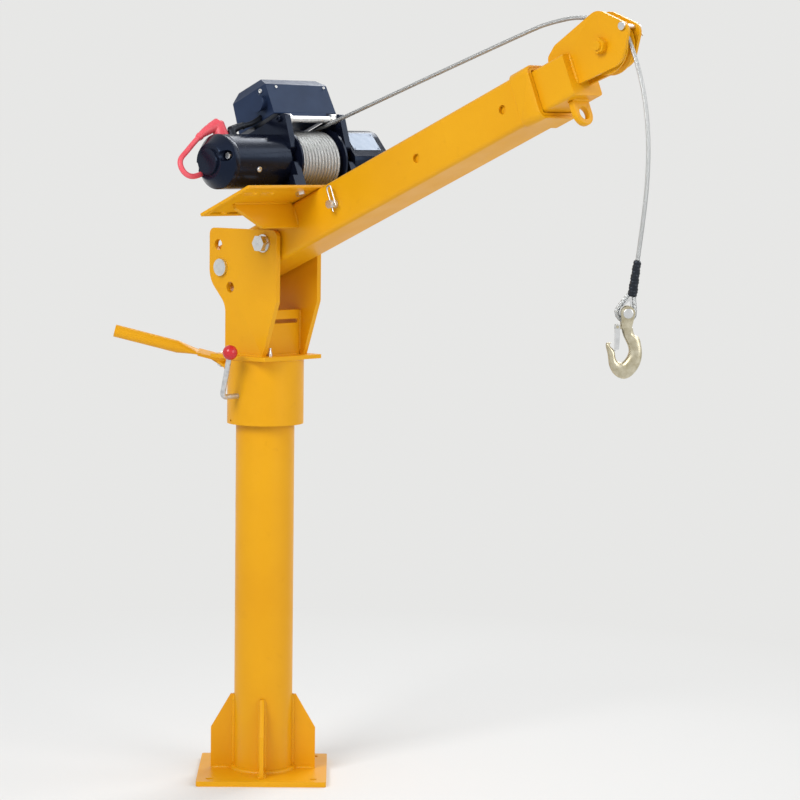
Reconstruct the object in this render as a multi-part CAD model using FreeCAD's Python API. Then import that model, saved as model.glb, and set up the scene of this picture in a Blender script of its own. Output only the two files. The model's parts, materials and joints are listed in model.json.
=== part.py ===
import FreeCAD, Part
import math
import os

Vec = FreeCAD.Vector

# Davit crane in millimetres, +Z up. The foot is square to X and Y, with its
# underside on Z = 0. The mast is drawn with the boom along +X and is then slewed.
# The boom is drawn level, from the boom pivot, and is then luffed.
SLEW = -45.0
LUFF = 23.0
LOCK_STEP = 20.0

# Clearances
RUN = 0.08
FACE = 0.15
PIN_PLAY = 0.3

# Foot and column
FOOT_SIDE = 196.0
FOOT_T = 8.0
FOOT_CORNER_R = 4.0
FOOT_HOLE_R = 5.5
FOOT_PITCH = 157.0
COL_R = 44.45
COL_WALL = 5.0
COL_TOP = 625.0
CAP_T = 8.0
WASHER_T = 6.85
WASHER_BORE = 15.0
GUSSET_T = 6.0
GUSSET_REACH = 35.5
GUSSET_KNEE = 63.0
GUSSET_H = 115.0
GUSSET_TIP = 5.5

# Slewing collar and clevis
BUSH_T = 7.55
COLLAR_WALL = 6.0
COLLAR_R = COL_R + BUSH_T + COLLAR_WALL
COLLAR_H = 99.0
GRUB_R = 2.2
GRUB_UP = 5.0
GRUB_TURN = -107.0
FLANGE_Z = COL_TOP + CAP_T + WASHER_T + FACE
FLANGE_SIDE = 120.0
FLANGE_T = 6.0
FLANGE_CORNER_R = 2.0
DECK_Z = FLANGE_Z + FLANGE_T
BUSH_H = 22.0
BUSH_UP = 3.0
BUSH_DOWN = 8.0
NIPPLE_X = 42.0
NIPPLE_Y = -31.0
PIVOT_X = 43.5
PIVOT_UP = 169.5
PIVOT_Z = DECK_Z + PIVOT_UP
CHEEK_IN = 38.5
CHEEK_T = 8.0
CHEEK_OUT = CHEEK_IN + CHEEK_T
CHEEK_REAR = -76.3
CHEEK_FOOT_REAR = -40.5
CHEEK_FOOT_FRONT = 41.5
CHEEK_FRONT = PIVOT_X + 27.0
CHEEK_TOP = PIVOT_Z + 20.0
CHEEK_FRONT_DOWN = 87.0
CHEEK_REAR_DOWN = 58.0
CHEEK_WAIST_DOWN = 95.0
CHEEK_CORNER_R = 10.0
CHEEK_REAR_R = 40.0
CHEEK_WAIST_R = 30.0
CHEEK_FOOT_R = 0.5
WEB_X = 28.0
WEB_T = 6.0
WEB_H = 68.0
WEB_SLOT_Z = 48.0
WEB_SLOT_H = 6.0
WEB_SLOT_NEAR = -24.0
WEB_SLOT_FAR = 34.0
BOLT_R = 8.0
BOLT_HEAD = 22.0
BOLT_HEAD_H = 10.0
NUT_H = 13.0
BOLT_TAIL = 5.0
WASHER_R = 13.5
PIVOT_WASHER_T = 3.0
SPACER_R = 17.0
LOCK_R = 100.5
LOCK_HEAD_R = 13.0
LOCK_HEAD_T = 5.0
LOCK_TIP_GAP = 0.6

# Clamp screw and turning handle
CLAMP_R = 4.0
CLAMP_DOWN = 55.0
CLAMP_Z = FLANGE_Z - CLAMP_DOWN
CLAMP_OUT = 89.0
CLAMP_ARM = 70.0
CLAMP_TILT = 14.0
CLAMP_BEND = 8.0
KNOB_R = 11.2
HINGE_X = -75.0
HINGE_Z = FLANGE_Z - 18.0
HINGE_R = 5.5
HINGE_PIN_R = 2.5
HINGE_HALF = 7.5
HINGE_SIDE_GAP = 0.2
LEAF_HALF = 13.0
LEAF_LEN = 36.0
LEAF_T = 4.0
LEAF_LIFT = 20.0
HANDLE_BOLT_R = 4.0
HANDLE_BOLT_AT = 22.0
HANDLE_BOLT_HEX = 13.0
HANDLE_TURN = 45.0
HANDLE_FLAT_T = 5.0
HANDLE_FLAT_HALF = 11.5
HANDLE_FLAT_LEN = 40.0
HANDLE_NECK_END = 72.0
HANDLE_R = 9.5
HANDLE_LEN = 172.0

# Boom
BOOM = 70.0
BOOM_WALL = 4.0
BOOM_CORNER_R = 7.0
BOOM_MID = 3.0
BOOM_TAIL = -128.0
BOOM_END = 566.0
BUSH_R = 12.0
BAND_L = 35.0
BAND_T = 4.0
PIN_S = 151.0
PIN_PITCH = 175.5
PIN_R = 6.0
PIN_HOLE_PLAY = 0.5
PIN_REACH = 14.0
PIN_HEAD_R = 10.0
PIN_HEAD_T = 7.0
CLIP_R = 1.3
CLIP_OUT = 8.0
CLIP_W = 8.5
CLIP_UP = 26.0
CLIP_DOWN = 12.0
INNER = 60.0
INNER_WALL = 4.0
INNER_CORNER_R = 5.0
INNER_SHOW = 58.0
INNER_END = BOOM_END + INNER_SHOW
INNER_CAP_T = 5.0
INNER_TAIL = PIN_S - 14.0
BOOM_TOP = BOOM_MID + BOOM / 2
INNER_TOP = BOOM_MID + INNER / 2
INNER_LOW = BOOM_MID - INNER / 2
PAD_GAP = (BOOM - INNER) / 2 - BOOM_WALL
PAD_HALF = 17.0
MOUTH_PAD_L = 38.0
TAIL_PAD_L = 13.0
PAD_INSET = 2.0

# Boom head
HEAD_REACH = 56.0
AXLE_S = INNER_END + HEAD_REACH
AXLE_T = 20.3
AXLE_R = 6.0
AXLE_HEX = 19.0
AXLE_HEAD_H = 9.0
ROPE_R = 3.0
SHEAVE_PITCH_R = 35.0
SHEAVE_R = 39.0
SHEAVE_W = 17.0
SHEAVE_BOSS_R = 10.0
HEAD_IN = SHEAVE_W / 2 + 1.0
HEAD_T = 5.0
HEAD_OUT = HEAD_IN + HEAD_T
HEAD_ROOT = 40.0
KEEPER_S = AXLE_S + 42.5
KEEPER_T = AXLE_T + 9.7
KEEPER_R = 3.0
COTTER_R = 0.9
EYE_BACK = 24.0
EYE_S = INNER_END - EYE_BACK
EYE_T = 9.0
EYE_R = 17.0
EYE_BORE_R = 9.0
EYE_DROP = INNER_LOW - 19.0

# Winch plate
PLATE_S0 = 16.0
PLATE_S1 = 127.0
PLATE_NEAR = -173.0
PLATE_FAR = 110.0
PLATE_T = 5.0
PLATE_TOP = BOOM_TOP + PLATE_T
SLOT_R = 4.5
SLOT_HALF = 9.0
SLOT_S = (28.0, 104.0)
SLOT_V = (-150.0, -117.0)
STAY_S = 62.0
STAY_T = 6.0
STAY_NEAR = 115.0
STAY_NEAR_FOOT = 72.0
STAY_FAR = 66.0
STAY_FAR_FOOT = 40.0
STAY_LIP = 7.0

# Winch
WINCH_S = 80.0
WINCH_UP = 55.0
WINCH_T = PLATE_TOP + WINCH_UP
SUPPORT_IN = 51.0
SUPPORT_T = 11.0
SUPPORT_OUT = SUPPORT_IN + SUPPORT_T
SUPPORT_FOOT = 41.0
SUPPORT_WAIST = 32.0
SUPPORT_HEAD = 49.0
SUPPORT_BORE = 17.0
SUPPORT_TOE = 9.0
SUPPORT_TOE_H = 18.0
SUPPORT_TOE_T = 10.0
WINCH_BOLT_R = 4.0
WINCH_BOLT_HEX = 13.0
WINCH_BOLT_DS = 30.0
WINCH_BOLT_UP = 14.0
WINCH_HEAD_H = 5.3
TIE_R = 5.0
TIE_DS = 36.0
TIE_UP = 53.0
TIE_T = WINCH_T + TIE_UP
MOTOR_R = 40.0
MOTOR_WALL = 4.0
MOTOR_LEN = 103.0
MOTOR_END = -SUPPORT_OUT - MOTOR_LEN
CAP_RIM = 9.0
CAP_LEN = 25.0
CAP_FACE_R = 26.0
CAP_HUB_R = 19.0
CAP_HUB_T = 4.0
CAP_SCREW_DS = 30.0
CAP_SCREW_DT = 3.0
CAP_SCREW_R = 8.0
CAP_SCREW_HEX = 9.0
CAP_SCREW_H = 6.0
SHAFT_R = 5.0
ROTOR_R = MOTOR_R - 9.0
ROTOR_GAP = 12.0
GEAR_R = 47.0
GEAR_BORE_R = 37.5
GEAR_FLAT = 41.0
GEAR_FLAT_TILT = 72.0
GEAR_LEN = 74.0
GEAR_END = SUPPORT_OUT + GEAR_LEN
GEAR_END_T = 14.0
GEAR_EDGE_R = 4.0
TAG_T = 0.8
TAG_UP = 21.0
TAG_DOWN = 12.0
TAG_INSET = 6.0
SUN_R = 7.7
PLANET_R = 14.0
PLANET_AT = 22.0
PLANET_L = 22.0
CARRIER_R = 30.0
CARRIER_T = 8.0
LEVER_R = 5.0
LEVER_HUB_R = 16.0
LEVER_T = 6.0
LEVER_LEN = 34.0
LEVER_GRIP = 22.0

# Drum and winding
DRUM_R = 39.6
DRUM_NECK_R = 36.0
DRUM_BORE_R = SHAFT_R + 3.0
DRUM_FLANGE_R = 49.5
DRUM_FLANGE_T = 3.5
DRUM_GAP = 1.0
WIND_R = 43.0
WIND_PITCH = 6.45
WIND_TURNS = 12.0
WIND_START = -42.5
WIND_CLIMB = 4.5
WIND_CLIMB_TURNS = 0.75
WIND_LEAD = 6.0
WIND_SIDE = 5.5

# Control box and leads
TRAY_T = 6.0
TRAY_HALF = 40.0
BOX_T0 = TIE_T + TIE_R + TRAY_T
BOX_H = 61.0
BOX_T1 = BOX_T0 + BOX_H
BOX_S0 = 29.0
BOX_S1 = 111.0
BOX_HALF = 64.0
BOX_SLOPE = 13.0
BOX_DRAFT = 3.0
BOX_TAPER = 8.0
BOX_WALL = 6.0
FLOOR_T = 3.0
COIL_R = 14.0
COIL_H = 33.0
SOCKET_S = 92.0
SOCKET_UP = 24.0
SOCKET_R = 11.0
SOCKET_RIM_R = 13.5
SOCKET_LEN = 9.0
SOCKET_RIM_T = 3.0
LEAD_R = 4.0
BOOT_R = 9.0
BOOT_TIP_R = 7.0
RED_POST = (75.0, -147.0, 164.0)
RED_ROUTE = [(75, -147, 158), (70, -171, 150), (65, -195, 133), (60, -217, 113), (58, -227, 101),
             (57.5, -226, 92), (57.5, -216, 87), (58, -201, 88), (58, -186, 91)]
BLACK_POST = (78.0, -128.0, 150.0)
BLACK_ROUTE = [(78, -128, 147), (79, -113, 153.5), (80, -98, 155), (80, -80, 159)]
BLACK_END_UP = 7.0
BLACK_END_IN = 3.0

# Rope routes from the sheave's axle: the span in the boom frame, the fall upright
SPAN_ARRIVE = 60.5
SPAN_ROUTE = [(-124, 7.7, 79.6), (-78, 5.0, 70.7), (-30, 2.3, 57.2)]
FALL_LEAVE = 26.0
FALL_ROUTE = [(49.7, -21.9), (63.6, -64.9), (71.3, -114.9), (72.1, -169.9), (66.1, -227.9)]

# Hook and rope end, in the upright plane of the boom
HOOK_OUT = 41.5
HOOK_DROP = 355.2
SLEEVE_X = 15.5
SLEEVE_TOP = 70.8
SLEEVE_R = 7.0
SLEEVE_FOOT = Vec(6, 0, 23)
LOOP_R = 12.5
LOOP_X = -2.0
LOOP_Z = 1.8
LOOP_TIP = 8.0
LOOP_SHARE = 0.74
THIMBLE_T = 1.8
THIMBLE_W = 9.0
THIMBLE_TIP = 20.0
CLEVIS_PIN_R = 4.5
EAR_R = 9.5
EAR_IN = 6.5
EAR_OUT = 11.5
EAR_DOWN = 20.0
EAR_FOOT = (-8.0, 5.0)
BRIDGE_TOP = -18.3
BRIDGE_LOW = -27.0
HOOK_HALF = 8.0
OVAL_POWER = 0.77
LATCH_X = -13.5
LATCH_Z = -18.5
LATCH_PIN_R = 2.0
LATCH_OUT = 6.2
LATCH_T = 1.5
LATCH_BACK = -16.5
LATCH_LOW = -51.0


def rod(radius, start, end):
    axis = end - start
    return Part.makeCylinder(radius, axis.Length, start, axis)


def ring(outer, inner, start, end):
    return rod(outer, start, end).cut(rod(inner, start, end))


def block(x0, x1, y0, y1, z0, z1):
    return Part.makeBox(x1 - x0, y1 - y0, z1 - z0, Vec(x0, y0, z0))


def fuse(first, *others):
    return first.multiFuse(list(others)).removeSplitter()


def across(radius, s, t, v0, v1):
    """Rod that runs across the boom or the mast."""
    return rod(radius, Vec(s, v0, t), Vec(s, v1, t))


def hexagon(width, start, end):
    axis = end - start
    radius = width / math.sqrt(3)
    angles = [math.radians(60 * i) for i in range(7)]
    corners = [Vec(radius * math.cos(angle), radius * math.sin(angle), 0) for angle in angles]
    prism = Part.Face(Part.makePolygon(corners)).extrude(Vec(0, 0, axis.Length))
    prism.Placement = FreeCAD.Placement(start, FreeCAD.Rotation(Vec(0, 0, 1), axis))
    return prism


def soften(shape, radius, chosen):
    """Rounds the edges whose bounding box is chosen."""
    return shape.makeFillet(radius, [edge for edge in shape.Edges if chosen(edge.BoundBox)])


def turned(shape, base, axis, degrees):
    copy = shape.copy()
    copy.rotate(base, axis, degrees)
    return copy


def moved(shape, offset):
    copy = shape.copy()
    copy.translate(offset)
    return copy


def route(points, tangents, closed=False):
    """Wire of straight runs joined by tangent arcs, and the tightest arc radius."""
    edges = []
    count = len(points)
    last = None
    first = None
    tightest = 1e9
    for i, point in enumerate(points):
        enter = point
        leave = point
        if tangents[i] > 0:
            back = (points[i - 1] - point).normalize()
            ahead = (points[(i + 1) % count] - point).normalize()
            enter = point + back * tangents[i]
            leave = point + ahead * tangents[i]
        if last is not None and (enter - last).Length > 1e-6:
            edges.append(Part.makeLine(last, enter))
        if tangents[i] > 0:
            half = (math.pi - back.getAngle(ahead)) / 2
            radius = tangents[i] / math.tan(half)
            tightest = min(tightest, radius)
            middle = point + (back + ahead).normalize() * (radius / math.cos(half) - radius)
            edges.append(Part.Arc(enter, middle, leave).toShape())
        if first is None:
            first = enter
        last = leave
    if closed and (first - last).Length > 1e-6:
        edges.append(Part.makeLine(last, first))
    return Part.Wire(edges), tightest


def rounded(points, radii):
    """Closed outline with each corner rounded to its own radius."""
    count = len(points)
    tangents = []
    for i, radius in enumerate(radii):
        back = (points[i - 1] - points[i]).normalize()
        ahead = (points[(i + 1) % count] - points[i]).normalize()
        tangents.append(radius / math.tan(back.getAngle(ahead) / 2))
    return route(points, tangents, True)[0]


def slab(outline, radii, y0, y1):
    """Plate whose outline lies in X and Z."""
    points = [Vec(x, y0, z) for x, z in outline]
    return Part.Face(rounded(points, radii)).extrude(Vec(0, y1 - y0, 0))


def sheet(side, corner, z, thickness):
    """Level square plate with rounded corners."""
    half = side / 2
    corners = [Vec(-half, -half, z), Vec(half, -half, z), Vec(half, half, z), Vec(-half, half, z)]
    return Part.Face(rounded(corners, [corner] * 4)).extrude(UP * thickness)


def sweep(path, radius):
    edge = path.Edges[0]
    start = path.OrderedVertexes[0].Point
    heading = edge.tangentAt(edge.FirstParameter)
    profile = Part.Wire([Part.makeCircle(radius, start, heading)])
    pipe = Part.BRepOffsetAPI.MakePipeShell(path)
    pipe.add(profile)
    pipe.build()
    pipe.makeSolid()
    return pipe.shape()


def bends(points):
    """Tangent lengths that make each arc as large as its two runs allow."""
    runs = [(b - a).Length for a, b in zip(points, points[1:])]
    return [0.0] + [0.45 * min(a, b) for a, b in zip(runs, runs[1:])] + [0.0]


def cord(name, points, radius, tangents=None, lead_in=()):
    """Cord tube: straight runs with tangent arcs, after any edges that lead in."""
    path, tightest = route(points, tangents or bends(points))
    whole = Part.Wire(list(lead_in) + path.Edges)
    solid = sweep(whole, radius)
    ratio = solid.Volume / (math.pi * radius ** 2 * whole.Length)
    print(name, "length", round(whole.Length, 1), "tightest radius", round(tightest, 1),
          "volume ratio", round(ratio, 4))
    return solid


def arc_middle(start, heading, end):
    """Middle of the arc that leaves start along heading and reaches end."""
    chord = end - start
    along = Vec(chord).normalize()
    side = heading - along * heading.dot(along)
    lift = chord.Length / 2 * math.tan(heading.getAngle(along) / 2)
    return start + chord * 0.5 + side.normalize() * lift


def square_bar(half, radius, s0, s1, middle):
    corners = [Vec(s0, -half, middle - half), Vec(s0, half, middle - half),
               Vec(s0, half, middle + half), Vec(s0, -half, middle + half)]
    return Part.Face(rounded(corners, [radius] * 4)).extrude(Vec(s1 - s0, 0, 0))


def square_tube(side, wall, radius, s0, s1, middle):
    outer = square_bar(side / 2, radius, s0, s1, middle)
    return outer.cut(square_bar(side / 2 - wall, max(radius - wall, 1.0), s0, s1, middle))


UP = Vec(0, 0, 1)
ACROSS = Vec(0, 1, 0)
ORIGIN = Vec(0, 0, 0)
MAST = FreeCAD.Placement(ORIGIN, FreeCAD.Rotation(UP, SLEW))
LUFFED = FreeCAD.Placement(Vec(PIVOT_X, 0, PIVOT_Z), FreeCAD.Rotation(ACROSS, -LUFF))
BOOM_FRAME = MAST.multiply(LUFFED)
AXLE = LUFFED.multVec(Vec(AXLE_S, 0, AXLE_T))
HOOK_PIN = AXLE + Vec(HOOK_OUT, 0, -HOOK_DROP)
SLEEVE_TIP = HOOK_PIN + Vec(SLEEVE_X, 0, SLEEVE_TOP)
HOOK_AT = MAST.multVec(HOOK_PIN)
SLEEVE_HEAD = MAST.multVec(SLEEVE_TIP) - HOOK_AT
nodes = {}


def on_base(name, shape):
    nodes[name] = shape


def on_mast(name, shape):
    copy = shape.copy()
    copy.Placement = MAST.multiply(copy.Placement)
    nodes[name] = copy


def on_boom(name, shape):
    copy = shape.copy()
    copy.Placement = BOOM_FRAME.multiply(copy.Placement)
    nodes[name] = copy


def in_hook(name, shape):
    nodes[name] = moved(shape, HOOK_AT)


def build_base():
    foot = sheet(FOOT_SIDE, FOOT_CORNER_R, 0, FOOT_T)
    for x in (-FOOT_PITCH / 2, FOOT_PITCH / 2):
        for y in (-FOOT_PITCH / 2, FOOT_PITCH / 2):
            foot = foot.cut(rod(FOOT_HOLE_R, Vec(x, y, 0), Vec(x, y, FOOT_T)))
    on_base("base_plate", foot)
    on_base("column_tube", ring(COL_R, COL_R - COL_WALL, UP * FOOT_T, UP * COL_TOP))
    root = COL_R - COL_WALL
    reach = COL_R + GUSSET_REACH
    outline = [(root, FOOT_T), (reach, FOOT_T), (reach, FOOT_T + GUSSET_KNEE),
               (COL_R + GUSSET_TIP, FOOT_T + GUSSET_H), (root, FOOT_T + GUSSET_H)]
    web = slab(outline, [0.01, 1, 1, 1, 0.01], -GUSSET_T / 2, GUSSET_T / 2)
    web = web.cut(rod(COL_R, ORIGIN, UP * COL_TOP))
    on_base("base_gussets", Part.makeCompound([turned(web, ORIGIN, UP, 90 * i) for i in range(4)]))
    washer_z = COL_TOP + CAP_T
    on_base("column_cap", rod(COL_R, UP * COL_TOP, UP * washer_z))
    on_base("thrust_washer", ring(COL_R - COL_WALL, WASHER_BORE, UP * washer_z, UP * (washer_z + WASHER_T)))


def build_collar():
    bottom = FLANGE_Z - COLLAR_H
    inside = COLLAR_R - COLLAR_WALL
    collar = ring(COLLAR_R, inside, UP * bottom, UP * FLANGE_Z)
    collar = collar.cut(across(CLAMP_R + RUN, 0, CLAMP_Z, -COLLAR_R - COLLAR_WALL, -COL_R))
    grub_z = bottom + GRUB_UP
    grub = rod(GRUB_R, Vec(COLLAR_R + COLLAR_WALL, 0, grub_z), Vec(COL_R, 0, grub_z))
    on_mast("collar_tube", collar.cut(turned(grub, ORIGIN, UP, GRUB_TURN)))
    bushes = []
    for z in (bottom + BUSH_UP, FLANGE_Z - BUSH_DOWN - BUSH_H):
        bushes.append(ring(inside, COL_R + RUN, UP * z, UP * (z + BUSH_H)))
    on_mast("collar_bushes", Part.makeCompound(bushes))
    on_mast("top_flange", sheet(FLANGE_SIDE, FLANGE_CORNER_R, FLANGE_Z, FLANGE_T))
    seat = Vec(NIPPLE_X, NIPPLE_Y, DECK_Z)
    nipple = fuse(hexagon(7, seat, seat + UP * 4), Part.makeCone(2.8, 1.6, 7, seat + UP * 4),
                  Part.makeSphere(2.2, seat + UP * 11))
    on_mast("grease_nipple", nipple)


def lock_spot(angle):
    """Place of a lock hole in the clevis for one boom angle."""
    turn = math.radians(angle)
    return PIVOT_X - LOCK_R * math.cos(turn), PIVOT_Z - LOCK_R * math.sin(turn)


def build_clevis():
    outline = [(CHEEK_FOOT_REAR, DECK_Z), (CHEEK_FOOT_FRONT, DECK_Z),
               (CHEEK_FRONT, PIVOT_Z - CHEEK_FRONT_DOWN), (CHEEK_FRONT, CHEEK_TOP), (CHEEK_REAR, CHEEK_TOP),
               (CHEEK_REAR, PIVOT_Z - CHEEK_REAR_DOWN), (CHEEK_FOOT_REAR, PIVOT_Z - CHEEK_WAIST_DOWN)]
    radii = [CHEEK_FOOT_R] * 2 + [CHEEK_CORNER_R] * 3 + [CHEEK_REAR_R, CHEEK_WAIST_R]
    plate = slab(outline, radii, -CHEEK_OUT, -CHEEK_IN)
    plate = plate.cut(across(BOLT_R + RUN, PIVOT_X, PIVOT_Z, -CHEEK_OUT, -CHEEK_IN))
    for step in (-1, 0, 1):
        x, z = lock_spot(LUFF + step * LOCK_STEP)
        plate = plate.cut(across(BOLT_R + PIN_PLAY, x, z, -CHEEK_OUT, -CHEEK_IN))
    far = moved(plate, Vec(0, CHEEK_IN + CHEEK_OUT, 0))
    on_mast("side_plates", Part.makeCompound([plate, far]))
    web = block(WEB_X, WEB_X + WEB_T, -CHEEK_IN, CHEEK_IN, DECK_Z, DECK_Z + WEB_H)
    slot_z = DECK_Z + WEB_SLOT_Z
    slot = block(WEB_X, WEB_X + WEB_T, WEB_SLOT_NEAR, WEB_SLOT_FAR, slot_z, slot_z + WEB_SLOT_H)
    on_mast("front_web", web.cut(slot))

    head = CHEEK_OUT + PIVOT_WASHER_T
    pivot = [Vec(PIVOT_X, v, PIVOT_Z) for v in (-head - BOLT_HEAD_H, -head, head, head + NUT_H)]
    bolt = fuse(rod(BOLT_R, pivot[1], pivot[3] + ACROSS * BOLT_TAIL),
                hexagon(BOLT_HEAD, pivot[0], pivot[1]), hexagon(BOLT_HEAD, pivot[2], pivot[3]))
    on_mast("pivot_bolt", bolt)
    side = BOOM / 2 + FACE
    spans = [(-head, -CHEEK_OUT, WASHER_R), (CHEEK_OUT, head, WASHER_R),
             (-CHEEK_IN, -side, SPACER_R), (side, CHEEK_IN, SPACER_R)]
    washers = []
    for a, b, r in spans:
        washers.append(ring(r, BOLT_R + RUN, Vec(PIVOT_X, a, PIVOT_Z), Vec(PIVOT_X, b, PIVOT_Z)))
    on_mast("pivot_washers", Part.makeCompound(washers))

    x, z = lock_spot(LUFF)
    tip = BOOM / 2 + LOCK_TIP_GAP
    pin = fuse(across(BOLT_R, x, z, -CHEEK_OUT, -tip),
               across(LOCK_HEAD_R, x, z, -CHEEK_OUT - LOCK_HEAD_T, -CHEEK_OUT))
    on_mast("lock_pin_near", pin)
    on_mast("lock_pin_far", turned(pin, Vec(x, 0, z), UP, 180))


def build_clamp():
    arm = Vec(math.sin(math.radians(CLAMP_TILT)), 0, math.cos(math.radians(CLAMP_TILT)))
    corner = Vec(0, -CLAMP_OUT, CLAMP_Z)
    end = corner + arm * (CLAMP_ARM + KNOB_R / 3)
    tip = Vec(0, -COL_R - PIN_PLAY, CLAMP_Z)
    on_mast("clamp_screw", cord("clamp_screw", [tip, corner, end], CLAMP_R, [0, CLAMP_BEND, 0]))
    ball = Part.makeSphere(KNOB_R, corner + arm * CLAMP_ARM)
    on_mast("clamp_knob", ball.cut(rod(CLAMP_R, corner, end)))


def build_handle():
    pin = Vec(HINGE_X, 0, HINGE_Z)
    knuckle = across(HINGE_R, HINGE_X, HINGE_Z, -HINGE_HALF, HINGE_HALF)
    arm = block(HINGE_X, -COLLAR_R + COLLAR_WALL, -HINGE_HALF, HINGE_HALF,
                HINGE_Z - LEAF_T, HINGE_Z + LEAF_T)
    arm = arm.cut(rod(COLLAR_R, ORIGIN, UP * DECK_Z))
    post = across(HINGE_PIN_R, HINGE_X, HINGE_Z, -LEAF_HALF - 1, LEAF_HALF + 1)
    on_mast("handle_lug", fuse(knuckle, arm, post))

    low = HINGE_Z - LEAF_T + 1
    high = HINGE_Z + 1
    edge = HINGE_X - HINGE_R - 1
    wing = HINGE_HALF + HINGE_SIDE_GAP
    pieces = [block(HINGE_X - LEAF_LEN, edge, -LEAF_HALF, LEAF_HALF, low, high)]
    for a, b in ((-LEAF_HALF, -wing), (wing, LEAF_HALF)):
        pieces.append(across(HINGE_R, HINGE_X, HINGE_Z, a, b))
        pieces.append(block(edge, HINGE_X, a, b, low, high))
    leaf = fuse(*pieces)
    leaf = leaf.cut(across(HINGE_PIN_R + RUN, HINGE_X, HINGE_Z, -LEAF_HALF, LEAF_HALF))
    foot = Vec(HINGE_X - HANDLE_BOLT_AT, 0, high)
    leaf = leaf.cut(rod(HANDLE_BOLT_R + RUN, foot - UP * LEAF_T, foot))
    on_mast("handle_leaf", turned(leaf, pin, ACROSS, LEAF_LIFT))

    under = foot - UP * LEAF_T
    over = foot + UP * (HANDLE_FLAT_T + FACE)
    bolt = fuse(rod(HANDLE_BOLT_R, under, over + UP * 9), hexagon(HANDLE_BOLT_HEX, under - UP * 5.3, under),
                hexagon(HANDLE_BOLT_HEX, over, over + UP * 6.5))
    on_mast("handle_bolt", turned(bolt, pin, ACROSS, LEAF_LIFT))

    half = HANDLE_FLAT_HALF
    middle = HANDLE_FLAT_T / 2
    flat = block(-HANDLE_FLAT_LEN, 0, -half, half, 0, HANDLE_FLAT_T)
    flat = flat.fuse(rod(half, ORIGIN, UP * HANDLE_FLAT_T))
    waist = Part.Ellipse(Vec(-HANDLE_FLAT_LEN, 0, middle), half, middle)
    waist.Axis = Vec(-1, 0, 0)
    waist.XAxis = ACROSS
    mouth = Part.Circle(Vec(-HANDLE_NECK_END, 0, middle), Vec(-1, 0, 0), HANDLE_R)
    mouth.XAxis = ACROSS
    neck = Part.makeLoft([Part.Wire([waist.toShape()]), Part.Wire([mouth.toShape()])], True, True)
    grip = rod(HANDLE_R, Vec(-HANDLE_NECK_END, 0, middle), Vec(-HANDLE_LEN, 0, middle))
    handle = fuse(flat, neck, grip)
    handle = handle.cut(rod(HANDLE_BOLT_R + RUN, ORIGIN, UP * HANDLE_FLAT_T))
    handle = moved(turned(handle, ORIGIN, UP, HANDLE_TURN), foot)
    on_mast("turn_handle", turned(handle, pin, ACROSS, LEAF_LIFT))


def four_pads(pad):
    """The same pad on each side of the square boom."""
    sides = [moved(turned(pad, ORIGIN, Vec(1, 0, 0), 90 * i), UP * BOOM_MID) for i in range(4)]
    return Part.makeCompound(sides)


def build_boom():
    half = BOOM / 2
    tube = square_tube(BOOM, BOOM_WALL, BOOM_CORNER_R, BOOM_TAIL, BOOM_END, BOOM_MID)
    holes = [(0, 0, BUSH_R), (-LOCK_R, 0, BOLT_R + PIN_PLAY), (PIN_S, BOOM_MID, PIN_R + RUN)]
    holes += [(PIN_S + i * PIN_PITCH, BOOM_MID, PIN_R + PIN_HOLE_PLAY) for i in (1, 2)]
    for s, t, r in holes:
        tube = tube.cut(across(r, s, t, -half, half))
    on_boom("boom_tube", tube)
    on_boom("pivot_bush", ring(BUSH_R, BOLT_R + RUN, ACROSS * -half, ACROSS * half))
    band = square_bar(half + BAND_T, BOOM_CORNER_R + BAND_T, BOOM_END - BAND_L, BOOM_END, BOOM_MID)
    on_boom("end_band", band.cut(square_bar(half, BOOM_CORNER_R, BOOM_END - BAND_L, BOOM_END, BOOM_MID)))
    inside = half - BOOM_WALL
    end = BOOM_END - PAD_INSET
    pad = block(end - MOUTH_PAD_L, end, -PAD_HALF, PAD_HALF, inside - PAD_GAP + FACE, inside)
    on_boom("mouth_pads", four_pads(pad))

    pin = fuse(across(PIN_R, PIN_S, BOOM_MID, -half - PIN_REACH, half),
               across(PIN_HEAD_R, PIN_S, BOOM_MID, half, half + PIN_HEAD_T))
    clip_v = -half - CLIP_OUT
    hole = rod(CLIP_R + RUN, Vec(PIN_S, clip_v, BOOM_MID - PIN_R), Vec(PIN_S, clip_v, BOOM_MID + PIN_R))
    on_boom("boom_pin", pin.cut(hole))
    legs = [Vec(PIN_S, clip_v, BOOM_MID - CLIP_DOWN), Vec(PIN_S, clip_v, BOOM_MID + CLIP_UP),
            Vec(PIN_S + CLIP_W, clip_v, BOOM_MID + CLIP_UP),
            Vec(PIN_S + CLIP_W, clip_v, BOOM_MID - CLIP_DOWN / 2)]
    bend = CLIP_W / 2 - RUN
    on_boom("pin_clip", cord("pin_clip", legs, CLIP_R, [0, bend, bend, 0]))


def winch_feet():
    mid = (SUPPORT_IN + SUPPORT_OUT) / 2
    return [(WINCH_S + ds, v) for v in (-mid, mid) for ds in (-WINCH_BOLT_DS, WINCH_BOLT_DS)]


def slot_in_plate(s, v):
    ends = [rod(SLOT_R, Vec(s, v + d, BOOM_TOP), Vec(s, v + d, PLATE_TOP)) for d in (-SLOT_HALF, SLOT_HALF)]
    return fuse(block(s - SLOT_R, s + SLOT_R, v - SLOT_HALF, v + SLOT_HALF, BOOM_TOP, PLATE_TOP), *ends)


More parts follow.
